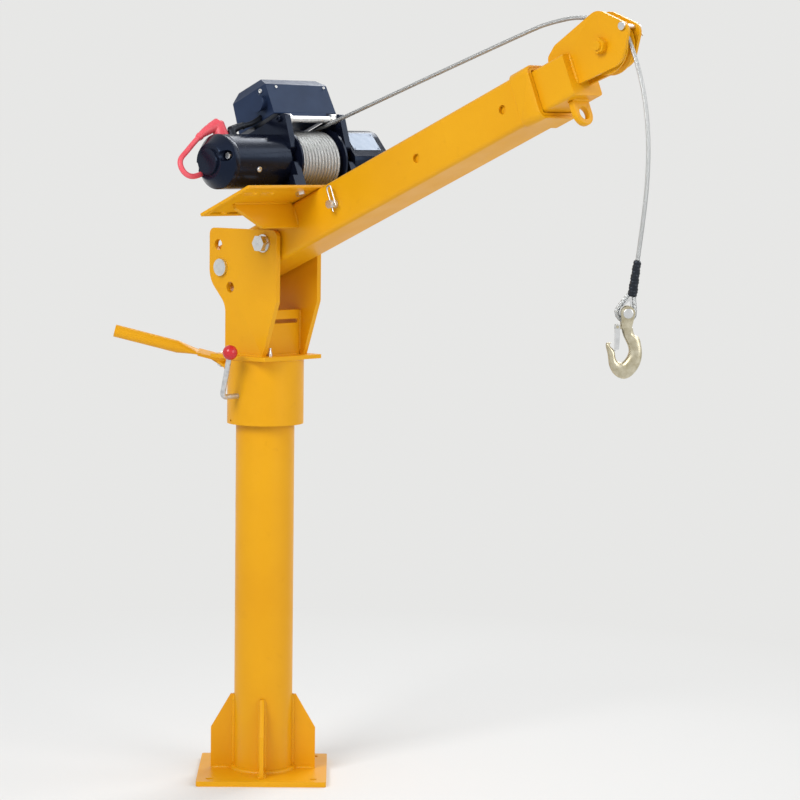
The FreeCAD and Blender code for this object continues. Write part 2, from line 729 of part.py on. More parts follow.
def build_plate():
    plate = block(PLATE_S0, PLATE_S1, PLATE_NEAR, PLATE_FAR, BOOM_TOP, PLATE_TOP)
    for s in SLOT_S:
        for v in SLOT_V:
            plate = plate.cut(slot_in_plate(s, v))
    for s, v in winch_feet():
        plate = plate.cut(rod(WINCH_BOLT_R, Vec(s, v, BOOM_TOP), Vec(s, v, PLATE_TOP)))
    on_boom("winch_plate", plate)
    half = BOOM / 2
    webs = []
    for side, reach, foot in ((-1, STAY_NEAR, STAY_NEAR_FOOT), (1, STAY_FAR, STAY_FAR_FOOT)):
        outline = [(half, BOOM_TOP), (half + reach, BOOM_TOP), (half + reach, BOOM_TOP - STAY_LIP),
                   (half + foot, 0), (half, 0)]
        corners = [Vec(STAY_S, side * v, t) for v, t in outline]
        web = Part.Face(Part.makePolygon(corners + [corners[0]])).extrude(Vec(STAY_T, 0, 0))
        webs.append(web.cut(square_bar(half, BOOM_CORNER_R, STAY_S, STAY_S + STAY_T, BOOM_MID)))
    on_boom("plate_gussets", Part.makeCompound(webs))


def cap_form():
    s, t = WINCH_S, WINCH_T
    face = MOTOR_END - CAP_LEN
    rim = Vec(s, MOTOR_END - CAP_RIM, t)
    return fuse(across(MOTOR_R, s, t, MOTOR_END - CAP_RIM, MOTOR_END),
                Part.makeCone(MOTOR_R, CAP_FACE_R, CAP_LEN - CAP_RIM, rim, -ACROSS),
                across(CAP_HUB_R, s, t, face - CAP_HUB_T, face))


def build_supports():
    s, t = WINCH_S, WINCH_T
    top = TIE_T + TIE_R
    half = [(SUPPORT_FOOT, PLATE_TOP), (SUPPORT_FOOT, t - 16), (SUPPORT_WAIST, t - 10),
            (SUPPORT_WAIST, t - 1), (SUPPORT_FOOT + 2, t + 5), (SUPPORT_HEAD, top)]
    outline = [(s + a, b) for a, b in half] + [(s - a, b) for a, b in reversed(half)]
    radii = [1, 3, 3, 3, 3, 4]
    support = slab(outline, radii + radii[::-1], -SUPPORT_OUT, -SUPPORT_IN)
    toes = []
    for ds in (-SUPPORT_FOOT, SUPPORT_FOOT - SUPPORT_TOE):
        toes.append(block(s + ds, s + ds + SUPPORT_TOE, -SUPPORT_OUT - SUPPORT_TOE_T, -SUPPORT_OUT,
                          PLATE_TOP, PLATE_TOP + SUPPORT_TOE_H))
    support = fuse(support, *toes)
    support = support.cut(across(SUPPORT_BORE, s, t, -SUPPORT_OUT, -SUPPORT_IN))
    for foot_s, v in winch_feet()[:2]:
        foot = Vec(foot_s, v, PLATE_TOP)
        support = support.cut(rod(WINCH_BOLT_R, foot, foot + UP * WINCH_BOLT_UP))
    on_boom("drum_supports", Part.makeCompound([support, support.mirror(ORIGIN, ACROSS)]))
    ties = [across(TIE_R, s + ds, TIE_T, -SUPPORT_IN, SUPPORT_IN) for ds in (-TIE_DS, TIE_DS)]
    on_boom("tie_bars", Part.makeCompound(ties))


def build_motor():
    s, t = WINCH_S, WINCH_T
    can = across(MOTOR_R, s, t, MOTOR_END, -SUPPORT_OUT)
    on_boom("motor_can", can.cut(across(MOTOR_R - MOTOR_WALL, s, t, MOTOR_END, -SUPPORT_OUT)))
    cap = cap_form().cut(across(SHAFT_R + RUN, s, t, MOTOR_END - CAP_RIM - CAP_HUB_T, MOTOR_END))
    seats = []
    for sign in (-1, 1):
        seat = Vec(s + sign * CAP_SCREW_DS, MOTOR_END - CAP_RIM, t - sign * CAP_SCREW_DT)
        cap = cap.cut(rod(CAP_SCREW_R, seat, seat - ACROSS * CAP_LEN))
        seats.append(seat)
    on_boom("motor_end_cap", cap)
    bolts = [hexagon(CAP_SCREW_HEX, seat, seat - ACROSS * CAP_SCREW_H) for seat in seats]
    for foot_s, v in winch_feet():
        under = Vec(foot_s, v, BOOM_TOP)
        shank = rod(WINCH_BOLT_R, under, Vec(foot_s, v, PLATE_TOP + WINCH_BOLT_UP))
        bolts.append(fuse(shank, hexagon(WINCH_BOLT_HEX, under - UP * WINCH_HEAD_H, under)))
    on_boom("winch_bolts", Part.makeCompound(bolts))
    sun = SUPPORT_OUT + CARRIER_T + 3
    rotor = fuse(across(SHAFT_R, s, t, MOTOR_END - CAP_RIM - 2, sun + PLANET_L + 15),
                 across(ROTOR_R, s, t, MOTOR_END + ROTOR_GAP, -SUPPORT_OUT - 2 * ROTOR_GAP),
                 across(SUN_R, s, t, sun, sun + PLANET_L - 2))
    on_boom("motor_armature", rotor)


def build_gearbox():
    s, t = WINCH_S, WINCH_T
    gear = across(GEAR_R, s, t, SUPPORT_OUT, GEAR_END)
    gear = soften(gear, GEAR_EDGE_R, lambda box: box.YMin > GEAR_END - FACE)
    waste = block(s - GEAR_R, s + GEAR_R, SUPPORT_OUT, GEAR_END, GEAR_FLAT, 2 * GEAR_R)
    gear = gear.cut(moved(turned(waste, Vec(s, 0, 0), ACROSS, GEAR_FLAT_TILT), UP * t))
    gear = gear.cut(across(GEAR_BORE_R, s, t, SUPPORT_OUT, GEAR_END - GEAR_END_T))
    gear = gear.cut(across(LEVER_R + RUN, s, t, GEAR_END - GEAR_END_T, GEAR_END))
    on_boom("gear_housing", gear)
    tag = block(s - TAG_UP, s + TAG_DOWN, SUPPORT_OUT + TAG_INSET, GEAR_END - 2 * TAG_INSET,
                GEAR_FLAT, GEAR_FLAT + TAG_T)
    on_boom("data_plate", moved(turned(tag, Vec(s, 0, 0), ACROSS, GEAR_FLAT_TILT), UP * t))
    near = GEAR_END + FACE
    far = GEAR_END + LEVER_T
    lever = fuse(across(LEVER_R, s, t, GEAR_END - GEAR_END_T + 2, far),
                 across(LEVER_HUB_R, s, t, near, far),
                 block(s - LEVER_T, s + LEVER_T, near, far, t, t + LEVER_LEN + LEVER_R),
                 across(LEVER_R, s, t + LEVER_LEN, near, GEAR_END + LEVER_GRIP))
    on_boom("clutch_lever", lever)


def on_winding(turn):
    """Point of the rope's middle line on the drum, counted in turns to the end."""
    angle = 2 * math.pi * turn
    share = min(max(1 + (turn - WIND_LEAD / 360) / WIND_CLIMB_TURNS, 0), 1)
    radius = WIND_R + WIND_CLIMB * share * share * (3 - 2 * share)
    return Vec(WINCH_S + radius * math.sin(angle), WIND_START + WIND_PITCH * (turn + WIND_TURNS),
               WINCH_T + radius * math.cos(angle))


def along_winding(turn):
    step = 1e-4
    return (on_winding(turn + step) - on_winding(turn - step)).normalize()


def build_drum():
    s, t = WINCH_S, WINCH_T
    left = -SUPPORT_IN + DRUM_GAP
    right = WIND_START + WIND_TURNS * WIND_PITCH + WIND_SIDE
    drum = fuse(across(DRUM_R, s, t, left, right),
                across(DRUM_FLANGE_R, s, t, left, left + DRUM_FLANGE_T),
                across(DRUM_FLANGE_R, s, t, right, right + DRUM_FLANGE_T),
                across(DRUM_NECK_R, s, t, right, SUPPORT_IN - DRUM_GAP),
                across(SUPPORT_BORE - RUN, s, t, -SUPPORT_OUT + 2 * DRUM_GAP, SUPPORT_OUT + 2 * DRUM_GAP))
    on_boom("drum", drum.cut(across(DRUM_BORE_R, s, t, -SUPPORT_OUT, SUPPORT_OUT + 2 * DRUM_GAP)))
    carrier = SUPPORT_OUT + 2 * DRUM_GAP
    disc = across(CARRIER_R, s, t, carrier, carrier + CARRIER_T)
    planets = [disc.cut(across(DRUM_BORE_R, s, t, carrier, carrier + CARRIER_T))]
    for i in range(3):
        angle = math.radians(90 + 120 * i)
        place = Vec(s + PLANET_AT * math.cos(angle), carrier + CARRIER_T, t + PLANET_AT * math.sin(angle))
        planets.append(rod(PLANET_R, place, place + ACROSS * PLANET_L))
    on_boom("planet_gears", Part.makeCompound(planets))

    steps = round(WIND_TURNS * 4)
    stops = [i / 4 - WIND_TURNS + WIND_LEAD / 360 for i in range(steps + 1)]
    edges = []
    points = []
    for a, b in zip(stops, stops[1:]):
        p, q = on_winding(a), on_winding(b)
        u, w = along_winding(a), along_winding(b)
        chord = q - p
        blend = 2 * (1 - u.dot(w))
        push = chord.dot(u + w)
        reach = (-push + math.sqrt(push ** 2 + blend * chord.dot(chord))) / blend
        joint = (p + q + (u - w) * reach) * 0.5
        edges.append(Part.Arc(p, arc_middle(p, u, joint), joint).toShape())
        edges.append(Part.Arc(joint, arc_middle(q, w * -1, joint), q).toShape())
        points += [p, joint]
    path = Part.Wire(edges)
    winding = sweep(path, ROPE_R)
    pairs = [(points[i] - points[j]).Length for i in range(len(points)) for j in range(i + 6, len(points))]
    ratio = winding.Volume / (math.pi * ROPE_R ** 2 * path.Length)
    print("rope_winding length", round(path.Length), "least gap", round(min(pairs) - 2 * ROPE_R, 2),
          "volume ratio", round(ratio, 4))
    on_boom("rope_winding", winding)


def box_form():
    t0, t1 = BOX_T0, BOX_T1
    s0, s1 = BOX_S0, BOX_S1
    knee = t1 - BOX_SLOPE
    inset = BOX_DRAFT + BOX_SLOPE
    outline = [(s0, t0), (s1, t0), (s1 - BOX_DRAFT, knee), (s1 - inset, t1), (s0 + inset, t1),
               (s0 + BOX_DRAFT, knee)]
    form = slab(outline, [2, 2, 3, 3, 3, 3], -BOX_HALF, BOX_HALF)
    low = BOX_HALF
    mid = BOX_HALF - BOX_DRAFT / 2
    top = BOX_HALF - BOX_TAPER
    ends = [(-low, t0), (low, t0), (mid, knee), (top, t1), (-top, t1), (-mid, knee)]
    corners = [Vec(s0, v, t) for v, t in ends]
    return form.common(Part.Face(rounded(corners, [0.5, 0.5, 3, 3, 3, 3])).extrude(Vec(s1 - s0, 0, 0)))


def build_box():
    s0, s1 = BOX_S0 + BOX_WALL, BOX_S1 - BOX_WALL
    half = BOX_HALF - BOX_WALL
    t0 = BOX_T0
    inner = block(s0, s1, -half, half, t0, BOX_T1 - BOX_SLOPE - BOX_DRAFT)
    on_boom("control_box", box_form().cut(inner))
    tray = block(WINCH_S - TIE_DS - TIE_R, WINCH_S + TIE_DS - TIE_R / 2, -TRAY_HALF, TRAY_HALF,
                 t0 - TRAY_T, t0)
    floor = block(s0, s1, -half, half, t0, t0 + FLOOR_T)
    coil_v = half - COIL_R - FLOOR_T
    coil_s = s0 + COIL_R + FLOOR_T
    base = t0 + FLOOR_T
    coils = [rod(COIL_R, Vec(coil_s, v, base), Vec(coil_s, v, base + COIL_H)) for v in (-coil_v, 0, coil_v)]
    on_boom("box_tray", fuse(tray, floor, *coils))
    t = t0 + SOCKET_UP
    mouth = -BOX_HALF - SOCKET_LEN
    socket = fuse(across(SOCKET_R, SOCKET_S, t, mouth, -half - 1),
                  across(SOCKET_RIM_R, SOCKET_S, t, mouth - SOCKET_RIM_T, mouth))
    on_boom("remote_socket", socket.cut(box_form()))


def build_leads():
    s, t = WINCH_S, WINCH_T
    can = across(MOTOR_R, s, t, MOTOR_END, -SUPPORT_OUT)
    top = t + MOTOR_R - 2
    boots = []
    for post_s, post_v, post_t in (RED_POST, BLACK_POST):
        boot = Part.makeCone(BOOT_R, BOOT_TIP_R, post_t - top, Vec(post_s, post_v, top))
        boots.append(boot.cut(can))
    red = cord("red_lead", [Vec(*p) for p in RED_ROUTE], LEAD_R)
    on_boom("red_lead", fuse(boots[0], red).cut(cap_form()))
    end = Vec(s, -BOX_HALF + BLACK_END_IN, BOX_T0 + BLACK_END_UP)
    black = cord("black_lead", [Vec(*p) for p in BLACK_ROUTE] + [end], LEAD_R)
    on_boom("black_lead", fuse(boots[1], black).cut(box_form()))


def build_extension():
    half = INNER / 2
    tube = square_tube(INNER, INNER_WALL, INNER_CORNER_R, INNER_TAIL, INNER_END, BOOM_MID)
    cap = square_bar(half - INNER_WALL, 1.0, INNER_END - INNER_CAP_T, INNER_END, BOOM_MID)
    tube = fuse(tube, cap)
    notch = PIN_R + PIN_PLAY
    tube = tube.cut(across(notch, PIN_S, BOOM_MID, -half, half))
    tube = tube.cut(block(INNER_TAIL, PIN_S, -half, half, BOOM_MID - notch, BOOM_MID + notch))
    on_boom("inner_tube", tube)
    start = PIN_S + PIN_R + FLOOR_T
    pad = block(start, start + TAIL_PAD_L, -PAD_HALF, PAD_HALF, half, half + PAD_GAP - FACE)
    on_boom("tail_pads", four_pads(pad))

    s, t = AXLE_S, AXLE_T
    root = INNER_END - HEAD_ROOT
    outline = [(INNER_END, INNER_TOP), (root, INNER_TOP), (root + 4, INNER_TOP + 11),
               (root + 20, INNER_TOP + 21), (s + 10, t + 49), (s + 54, t + 6), (s + 22, t - 35.5),
               (INNER_END, t - 31)]
    cheek = slab(outline, [0.01, 1, 7, 14, 24, 14, 25, 0.5], -HEAD_OUT, -HEAD_IN)
    cheek = cheek.cut(across(AXLE_R, s, t, -HEAD_OUT, -HEAD_IN))
    cheek = cheek.cut(across(KEEPER_R, KEEPER_S, KEEPER_T, -HEAD_OUT, -HEAD_IN))
    far = moved(cheek, Vec(0, HEAD_IN + HEAD_OUT, 0))
    on_boom("head_cheeks", Part.makeCompound([cheek, far]))
    out = HEAD_OUT
    axle = fuse(across(AXLE_R, s, t, -out - AXLE_HEAD_H - 3, out + AXLE_HEAD_H),
                hexagon(AXLE_HEX, Vec(s, -out - AXLE_HEAD_H, t), Vec(s, -out, t)),
                hexagon(AXLE_HEX, Vec(s, out, t), Vec(s, out + AXLE_HEAD_H, t)))
    on_boom("sheave_axle", axle)
    cotter = Vec(KEEPER_S, out + 4, KEEPER_T)
    keeper = fuse(across(KEEPER_R, KEEPER_S, KEEPER_T, -out, out + 7),
                  across(KEEPER_R + 2.5, KEEPER_S, KEEPER_T, -out - 3, -out),
                  rod(COTTER_R, cotter + UP * 7, cotter),
                  rod(COTTER_R, cotter, cotter + Vec(2, 1, -14)),
                  rod(COTTER_R, cotter, cotter + Vec(-3, 1, -13)))
    on_boom("keeper_pin", keeper)
    eye = Vec(EYE_S, 0, EYE_DROP)
    back = eye + Vec(EYE_T, 0, 0)
    ear = fuse(rod(EYE_R, eye, back), block(EYE_S, EYE_S + EYE_T, -EYE_R, EYE_R, EYE_DROP, INNER_LOW))
    on_boom("eye_lug", ear.cut(rod(EYE_BORE_R, eye, back)))


def build_sheave():
    s, t = AXLE_S, AXLE_T
    half = SHEAVE_W / 2
    lip = SHEAVE_R + 1
    groove = ROPE_R + PIN_PLAY
    wheel = across(SHEAVE_R, s, t, -half, half)
    mouth = [Vec(s + SHEAVE_PITCH_R, -groove, t), Vec(s + lip, -half + 2, t), Vec(s + lip, half - 2, t),
             Vec(s + SHEAVE_PITCH_R, groove, t)]
    flare = Part.Face(Part.makePolygon(mouth + [mouth[0]])).revolve(Vec(s, 0, t), ACROSS, 360)
    wheel = wheel.cut(Part.makeTorus(SHEAVE_PITCH_R, groove, Vec(s, 0, t), ACROSS)).cut(flare)
    boss = HEAD_IN - FACE
    wheel = fuse(wheel, across(SHEAVE_BOSS_R, s, t, -boss, boss))
    on_boom("sheave", wheel.cut(across(AXLE_R + RUN, s, t, -boss, boss)))


def build_rope():
    last = on_winding(WIND_LEAD / 360)
    route_span = [Vec(AXLE_S, 0, AXLE_T) + Vec(*p) for p in SPAN_ROUTE]
    start = last + (route_span[0] - last).normalize() * PIN_PLAY * 2
    angle = math.radians(SPAN_ARRIVE)
    end = Vec(AXLE_S + SHEAVE_PITCH_R * math.cos(angle), 0, AXLE_T + SHEAVE_PITCH_R * math.sin(angle))
    points = [start] + route_span + [end]
    on_boom("rope_span", cord("rope_span", points, ROPE_R))

    arrive = SPAN_ARRIVE + LUFF - 1
    turns = [math.radians(a) for a in (arrive, (arrive + FALL_LEAVE) / 2, FALL_LEAVE)]
    rim = [AXLE + Vec(math.cos(a), 0, math.sin(a)) * SHEAVE_PITCH_R for a in turns]
    points = [rim[2]] + [AXLE + Vec(x, 0, z) for x, z in FALL_ROUTE] + [SLEEVE_TIP]
    on_mast("rope_fall", cord("rope_fall", points, ROPE_R, lead_in=[Part.Arc(*rim).toShape()]))


def teardrop(radius, tip, half):
    """Solid teardrop with its round end about the origin and its tip up."""
    lean = math.asin(radius / tip)
    side = Vec(radius * math.cos(lean), -half, radius * math.sin(lean))
    peak = Vec(0, -half, tip)
    mirror = Vec(-side.x, -half, side.z)
    bowl = Part.Arc(side, Vec(0, -half, -radius), mirror).toShape()
    outline = Part.Wire([bowl, Part.makeLine(mirror, peak), Part.makeLine(peak, side)])
    return Part.Face(outline).extrude(Vec(0, 2 * half, 0))


def build_rope_end():
    axis = (SLEEVE_HEAD - SLEEVE_FOOT).normalize()
    sleeve = rod(SLEEVE_R, SLEEVE_FOOT, SLEEVE_HEAD - axis * (PIN_PLAY + RUN))
    in_hook("rope_sleeve", sleeve)
    centre = Vec(LOOP_X, 0, LOOP_Z)
    peak = SLEEVE_FOOT + axis * LOOP_TIP - centre
    length = math.hypot(peak.x, peak.z)
    tilt = math.degrees(math.atan2(peak.x, peak.z))
    lean = math.asin(LOOP_R / length)
    low = [Vec(sign * LOOP_R * math.cos(lean), 0, LOOP_R * math.sin(lean)) for sign in (1, -1)]
    high = [p + (UP * length - p) * LOOP_SHARE for p in low]
    bowl = Part.Arc(low[0], UP * -LOOP_R, low[1]).toShape()
    loop = Part.Wire([Part.makeLine(high[0], low[0]), bowl, Part.makeLine(low[1], high[1])])
    eye = moved(turned(sweep(loop, ROPE_R), ORIGIN, ACROSS, tilt), centre)
    in_hook("rope_eye", eye.cut(sleeve))
    outside = LOOP_R - ROPE_R - PIN_PLAY
    inside = outside - THIMBLE_T
    hollow = teardrop(inside, THIMBLE_TIP * inside / outside, THIMBLE_W)
    thimble = teardrop(outside, THIMBLE_TIP, THIMBLE_W / 2).cut(hollow)
    in_hook("thimble", moved(turned(thimble, ORIGIN, ACROSS, tilt), centre))


def oval(outer, inner, half):
    """Points of one oval slice of the hook, from an outer to an inner point."""
    a = Vec(outer[0], 0, outer[1])
    b = Vec(inner[0], 0, inner[1])
    middle = (a + b) * 0.5
    width = (a - b) * 0.5
    points = []
    for i in range(17):
        x = math.cos(math.pi * (i % 16) / 8)
        y = math.sin(math.pi * (i % 16) / 8)
        x = math.copysign(abs(x) ** OVAL_POWER, x)
        y = math.copysign(abs(y) ** OVAL_POWER, y)
        points.append(middle + width * x + ACROSS * (y * half))
    return points


def hook_body():
    """Skin through the oval slices, from the shank round to the tip."""
    h = HOOK_HALF
    slices = [((7.5, -20), (-8, -20), h), ((14.5, -31), (-4, -33), h), ((19.8, -46), (2, -46), h),
              ((19.8, -62), (1.5, -56), h), ((12, -79), (-3, -63.5), h), ((-2, -88.5), (-7.5, -66.5), h),
              ((-15, -84), (-12.5, -64.5), h), ((-23.5, -70), (-15.5, -57.5), 0.96 * h),
              ((-26.5, -52), (-19, -48), 0.8 * h), ((-25, -40), (-21, -40), 0.5 * h)]
    skin = Part.BSplineSurface()
    skin.interpolate([oval(*places) for places in slices])
    first, last = skin.bounds()[:2]
    ends = [Part.Face(Part.Wire([skin.uIso(u).toShape()])) for u in (first, last)]
    shell = Part.Shell([skin.toShape()] + ends)
    shell.sewShape()
    return Part.Solid(shell)


def build_hook():
    ears = []
    for sign in (-1, 1):
        a, b = sorted((sign * EAR_IN, sign * EAR_OUT))
        ears.append(across(EAR_R, 0, 0, a, b))
        outline = [(-EAR_R, 0), (EAR_R, 0), (EAR_FOOT[1], -EAR_DOWN), (EAR_FOOT[0], -EAR_DOWN)]
        ears.append(slab(outline, [0.01, 0.01, 1, 1], a, b))
    bridge = block(-EAR_R / 2, EAR_FOOT[1], -EAR_OUT, EAR_OUT, BRIDGE_LOW, BRIDGE_TOP)
    lug = block(LATCH_X, -EAR_R + 2, -HOOK_HALF / 2, HOOK_HALF / 2, LATCH_Z - 3, LATCH_Z + LATCH_PIN_R)
    hook = fuse(hook_body(), *ears, bridge, lug,
                across(CLEVIS_PIN_R, 0, 0, -EAR_OUT - 2, EAR_OUT + 4),
                across(CLEVIS_PIN_R + 2, 0, 0, -EAR_OUT - 3, -EAR_OUT),
                rod(COTTER_R, Vec(-9, EAR_OUT + 2, 0), Vec(13, EAR_OUT + 2, 3)),
                across(LATCH_PIN_R, LATCH_X, LATCH_Z, -LATCH_OUT - 1, LATCH_OUT + 1))
    in_hook("hook", hook)
    outline = [(LATCH_BACK, -15.5), (-10, -15.5), (-10, -30), (-11, -49), (LATCH_BACK, LATCH_LOW + 2)]
    corners = [0.5, 2, 2, 1, 0.5]
    sides = [slab(outline, corners, y, y + LATCH_T) for y in (-LATCH_OUT, LATCH_OUT - LATCH_T)]
    tongue = block(LATCH_BACK, LATCH_BACK + LATCH_T, -LATCH_OUT, LATCH_OUT, LATCH_LOW, LATCH_Z - 3)
    latch = fuse(tongue, *sides).cut(across(LATCH_PIN_R + RUN, LATCH_X, LATCH_Z, -LATCH_OUT, LATCH_OUT))
    in_hook("latch", latch)


build_base()
build_collar()
build_clevis()
build_clamp()
build_handle()
build_boom()
build_plate()
build_supports()
build_motor()
build_gearbox()
build_drum()
build_box()
build_leads()
build_extension()
build_sheave()
build_rope()
build_rope_end()
build_hook()

os.makedirs("parts", exist_ok=True)
for name, shape in nodes.items():
    shape.exportStep("parts/" + name + ".step")
print(len(nodes), "nodes")
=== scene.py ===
import json
import math

import bpy
from mathutils import Matrix, Vector


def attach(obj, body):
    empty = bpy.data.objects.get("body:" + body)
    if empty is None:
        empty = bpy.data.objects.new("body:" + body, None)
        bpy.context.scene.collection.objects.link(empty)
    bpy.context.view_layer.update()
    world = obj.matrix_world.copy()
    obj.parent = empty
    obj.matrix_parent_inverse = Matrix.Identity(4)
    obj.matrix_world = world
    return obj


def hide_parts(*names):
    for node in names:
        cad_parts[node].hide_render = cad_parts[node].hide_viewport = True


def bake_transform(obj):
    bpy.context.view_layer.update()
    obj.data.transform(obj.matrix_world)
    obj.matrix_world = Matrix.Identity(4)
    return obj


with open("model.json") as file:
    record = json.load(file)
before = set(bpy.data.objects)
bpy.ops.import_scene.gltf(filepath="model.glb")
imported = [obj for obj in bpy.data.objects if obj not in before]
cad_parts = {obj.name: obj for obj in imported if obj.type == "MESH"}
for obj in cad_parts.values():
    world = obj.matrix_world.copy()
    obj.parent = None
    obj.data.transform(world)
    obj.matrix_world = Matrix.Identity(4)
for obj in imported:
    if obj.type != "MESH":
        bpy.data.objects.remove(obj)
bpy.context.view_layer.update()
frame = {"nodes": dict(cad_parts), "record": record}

# How the crane stands, and the sizes of its solids that the added pieces meet, in metres
SLEW = math.radians(-45)
LUFF = math.radians(23)
PIVOT = Vector((0.0435, 0, 0.8155))
FLANGE_Z = 0.640
DECK_Z = 0.646
FOOT_T = 0.008
COLUMN_R = 0.04445
GUSSETS = 4
GUSSET_REACH = 0.0355
GUSSET_HALF = 0.003
GUSSET_H = 0.115
COLLAR_R = 0.058
CHEEK_IN = 0.0385
CHEEK_OUT = 0.0465
CHEEK_FOOT_REAR = -0.0405
CHEEK_FOOT_FRONT = 0.0415
WEB_X = 0.028
WEB_T = 0.006
WEB_H = 0.068
BOOM_HALF = 0.035
BOOM_MID = 0.003
BOOM_TOP = BOOM_MID + BOOM_HALF
BOOM_END = 0.566
BAND_L = 0.035
INNER_HALF = 0.030
INNER_TOP = BOOM_MID + INNER_HALF
INNER_LOW = BOOM_MID - INNER_HALF
INNER_END = BOOM_END + 0.058
HEAD_ROOT = 0.040
HEAD_OUT = 0.0145
HEAD_LOW = -0.0107
EYE_S = INNER_END - 0.024
EYE_T = 0.009
EYE_R = 0.017
PLATE_TOP = BOOM_TOP + 0.005
STAY_S = 0.062
STAY_T = 0.006
STAY_NEAR = 0.115
STAY_FAR = 0.066
WINCH_S = 0.080
WINCH_T = PLATE_TOP + 0.055
SUPPORT_IN = 0.051
SUPPORT_OUT = 0.062
MOTOR_R = 0.040
GEAR_FLAT = 0.041
GEAR_FLAT_TILT = math.radians(72)
TAG_T = 0.0008
TIE_DS = 0.036
TIE_T = WINCH_T + 0.053
BOX_T0 = TIE_T + 0.011
BOX_HALF = 0.064
BOX_S1 = 0.111
SHEAVE_PITCH_R = 0.035
AXLE = Vector((INNER_END + 0.056, 0, 0.0203))
EAR_OUT = 0.0115

# Axes of the mast and of the boom: s along the boom from the pivot, v across it, t above it
MAST = Matrix.Rotation(SLEW, 4, "Z")
BOOM = MAST @ Matrix.Translation(PIVOT) @ Matrix.Rotation(-LUFF, 4, "Y")
HOOK_PLACE = Vector((0.0415, 0, -0.3552))
HOOK_AT = MAST @ (MAST.inverted() @ (BOOM @ AXLE) + HOOK_PLACE)
GROUND = Matrix.Identity(4)

# The rope: section, winding, span and fall; angles in degrees
ROPE_R = 0.003
ROPE_LAY = 0.034
ROPE_STRANDS = 6
ROPE_GROOVE = 0.20
ROPE_SIDES = 24
ROPE_STEP = 0.0012
WIND_R = 0.043
WIND_PITCH = 0.00645
WIND_TURNS = 12
WIND_START = -0.0425
WIND_CLIMB = 0.0045
WIND_CLIMB_TURNS = 0.75
WIND_LEAD = 6.0
WIND_STEPS = 16
WIND_ROPE_STEP = 0.0016
SPAN_ARRIVE = 60.5
SPAN_ROUTE = [(-0.124, 0.0077, 0.0796), (-0.078, 0.0050, 0.0707), (-0.030, 0.0023, 0.0572)]
FALL_AFTER_SPAN = 1
FALL_LEAVE = 26.0
FALL_WRAP_STEPS = 4
FALL_ROUTE = [(0.0497, -0.0219), (0.0636, -0.0649), (0.0713, -0.1149), (0.0721, -0.1699),
              (0.0661, -0.2279)]

# The rope's eye and the sleeve on its splice, from the hook's pin
SLEEVE_TIP = Vector((0.0155, 0, 0.0708))
SLEEVE_FOOT = Vector((0.006, 0, 0.023))
SLEEVE_R = 0.007
SLEEVE_SIDES = 40
SLEEVE_STEP = 0.0006
LOOP_R = 0.0125
LOOP_CENTRE = Vector((-0.002, 0, 0.0018))
LOOP_TIP = 0.008
LOOP_SHARE = 0.74
LOOP_BENDS = 6
LOOP_ROPE_STEP = 0.0008

# The motor's leads; a boot has its bell's height, its swell and the points of the lead that it covers
LEAD_R = 0.004
LEAD_SIDES = 20
LEAD_STEP = 0.0015
POST_T = WINCH_T + MOTOR_R - 0.002
RED_POST = Vector((0.075, -0.147, POST_T))
RED_ROUTE = [(0.075, -0.147, 0.158), (0.070, -0.171, 0.150), (0.065, -0.195, 0.133),
             (0.061, -0.2085, 0.1215), (0.0578, -0.2193, 0.1134), (0.0578, -0.2242, 0.1065),
             (0.0578, -0.2251, 0.0982), (0.0578, -0.2219, 0.0904), (0.0578, -0.2153, 0.0852),
             (0.0578, -0.2070, 0.0838), (0.058, -0.196, 0.0856), (0.058, -0.186, 0.089)]
RED_BOOT = (0.026, 0.0058, 30)
BLACK_POST = Vector((0.078, -0.128, POST_T))
BLACK_ROUTE = [(0.078, -0.128, 0.147), (0.079, -0.113, 0.1535), (0.080, -0.098, 0.155),
               (0.080, -0.080, 0.159), (WINCH_S, -BOX_HALF + 0.003, BOX_T0 + 0.007)]
BLACK_BOOT = (0.013, 0.0030, 20)
BOOT_SIDES = 40
BOOT_SLEEVE_SIDES = 32
BOOT_STEP = 0.001
BOOT_BEVEL = 0.003
BOOT_VOXEL = 0.0006

# Weld beads: radii, ripple, and what the runs leave free at ends and corners
FOOT_RING_BEAD = 0.0054
FOOT_BEAD = 0.0040
RIM_BEAD = 0.0021
MAST_BEAD = 0.0024
BOOM_BEAD = 0.0022
HEAD_BEAD = 0.0032
BEAD_SIDES = 12
BEAD_STEP = 0.0011
BEAD_RIPPLE = 0.0042
BEAD_RING_RIPPLES = 32
BEAD_RING_STEPS = 220
BEAD_DEPTH = 0.16
BEAD_TIP = 0.45
BEAD_INSET = 0.001
BEAD_SINK = 0.0002
FOOT_CLEAR = 0.002
WEB_REAR_CLEAR = 0.003
WEB_FOOT_CLEAR = 0.003
WEB_SIDE_CLEAR = 0.002
BAND_CORNER = 0.008
STAY_LOW = 0.004
STAY_TOP_CLEAR = 0.009
STAY_SIDE_CLEAR = 0.004

# Collars, pin head and screws; a screw has its head's radius and height, and shares of them for its form
SCREW_CHAMFER = 0.18
SCREW_RIM = 0.32
SCREW_RECESS = 0.55
TIE_COLLAR_R = 0.0082
TIE_COLLAR_L = 0.010
TIE_COLLAR_BEVEL = 0.0012
PIN_HEAD_R = 0.0068
PIN_HEAD_H = 0.0034
PIN_HEAD_BEVEL = 0.0010
TIE_SCREW = (0.0046, 0.0042)
MOTOR_SCREW = (0.0042, 0.0026)
MOTOR_SCREW_V = -0.127
MOTOR_SCREW_LEAN = math.radians(128)
MOTOR_SCREW_SINK = 0.0004
BOX_SCREW = (0.0034, 0.0020)
BOX_SCREW_BACK = 0.016
BOX_SCREW_UP = 0.042
BOX_SCREW_SINK = 0.0016
FRONT_SCREW = (0.0022, 0.0016)
FRONT_SCREW_V = (-0.043, 0.055)
FRONT_SCREW_UP = 0.0435
FRONT_SCREW_SINK = 0.0030
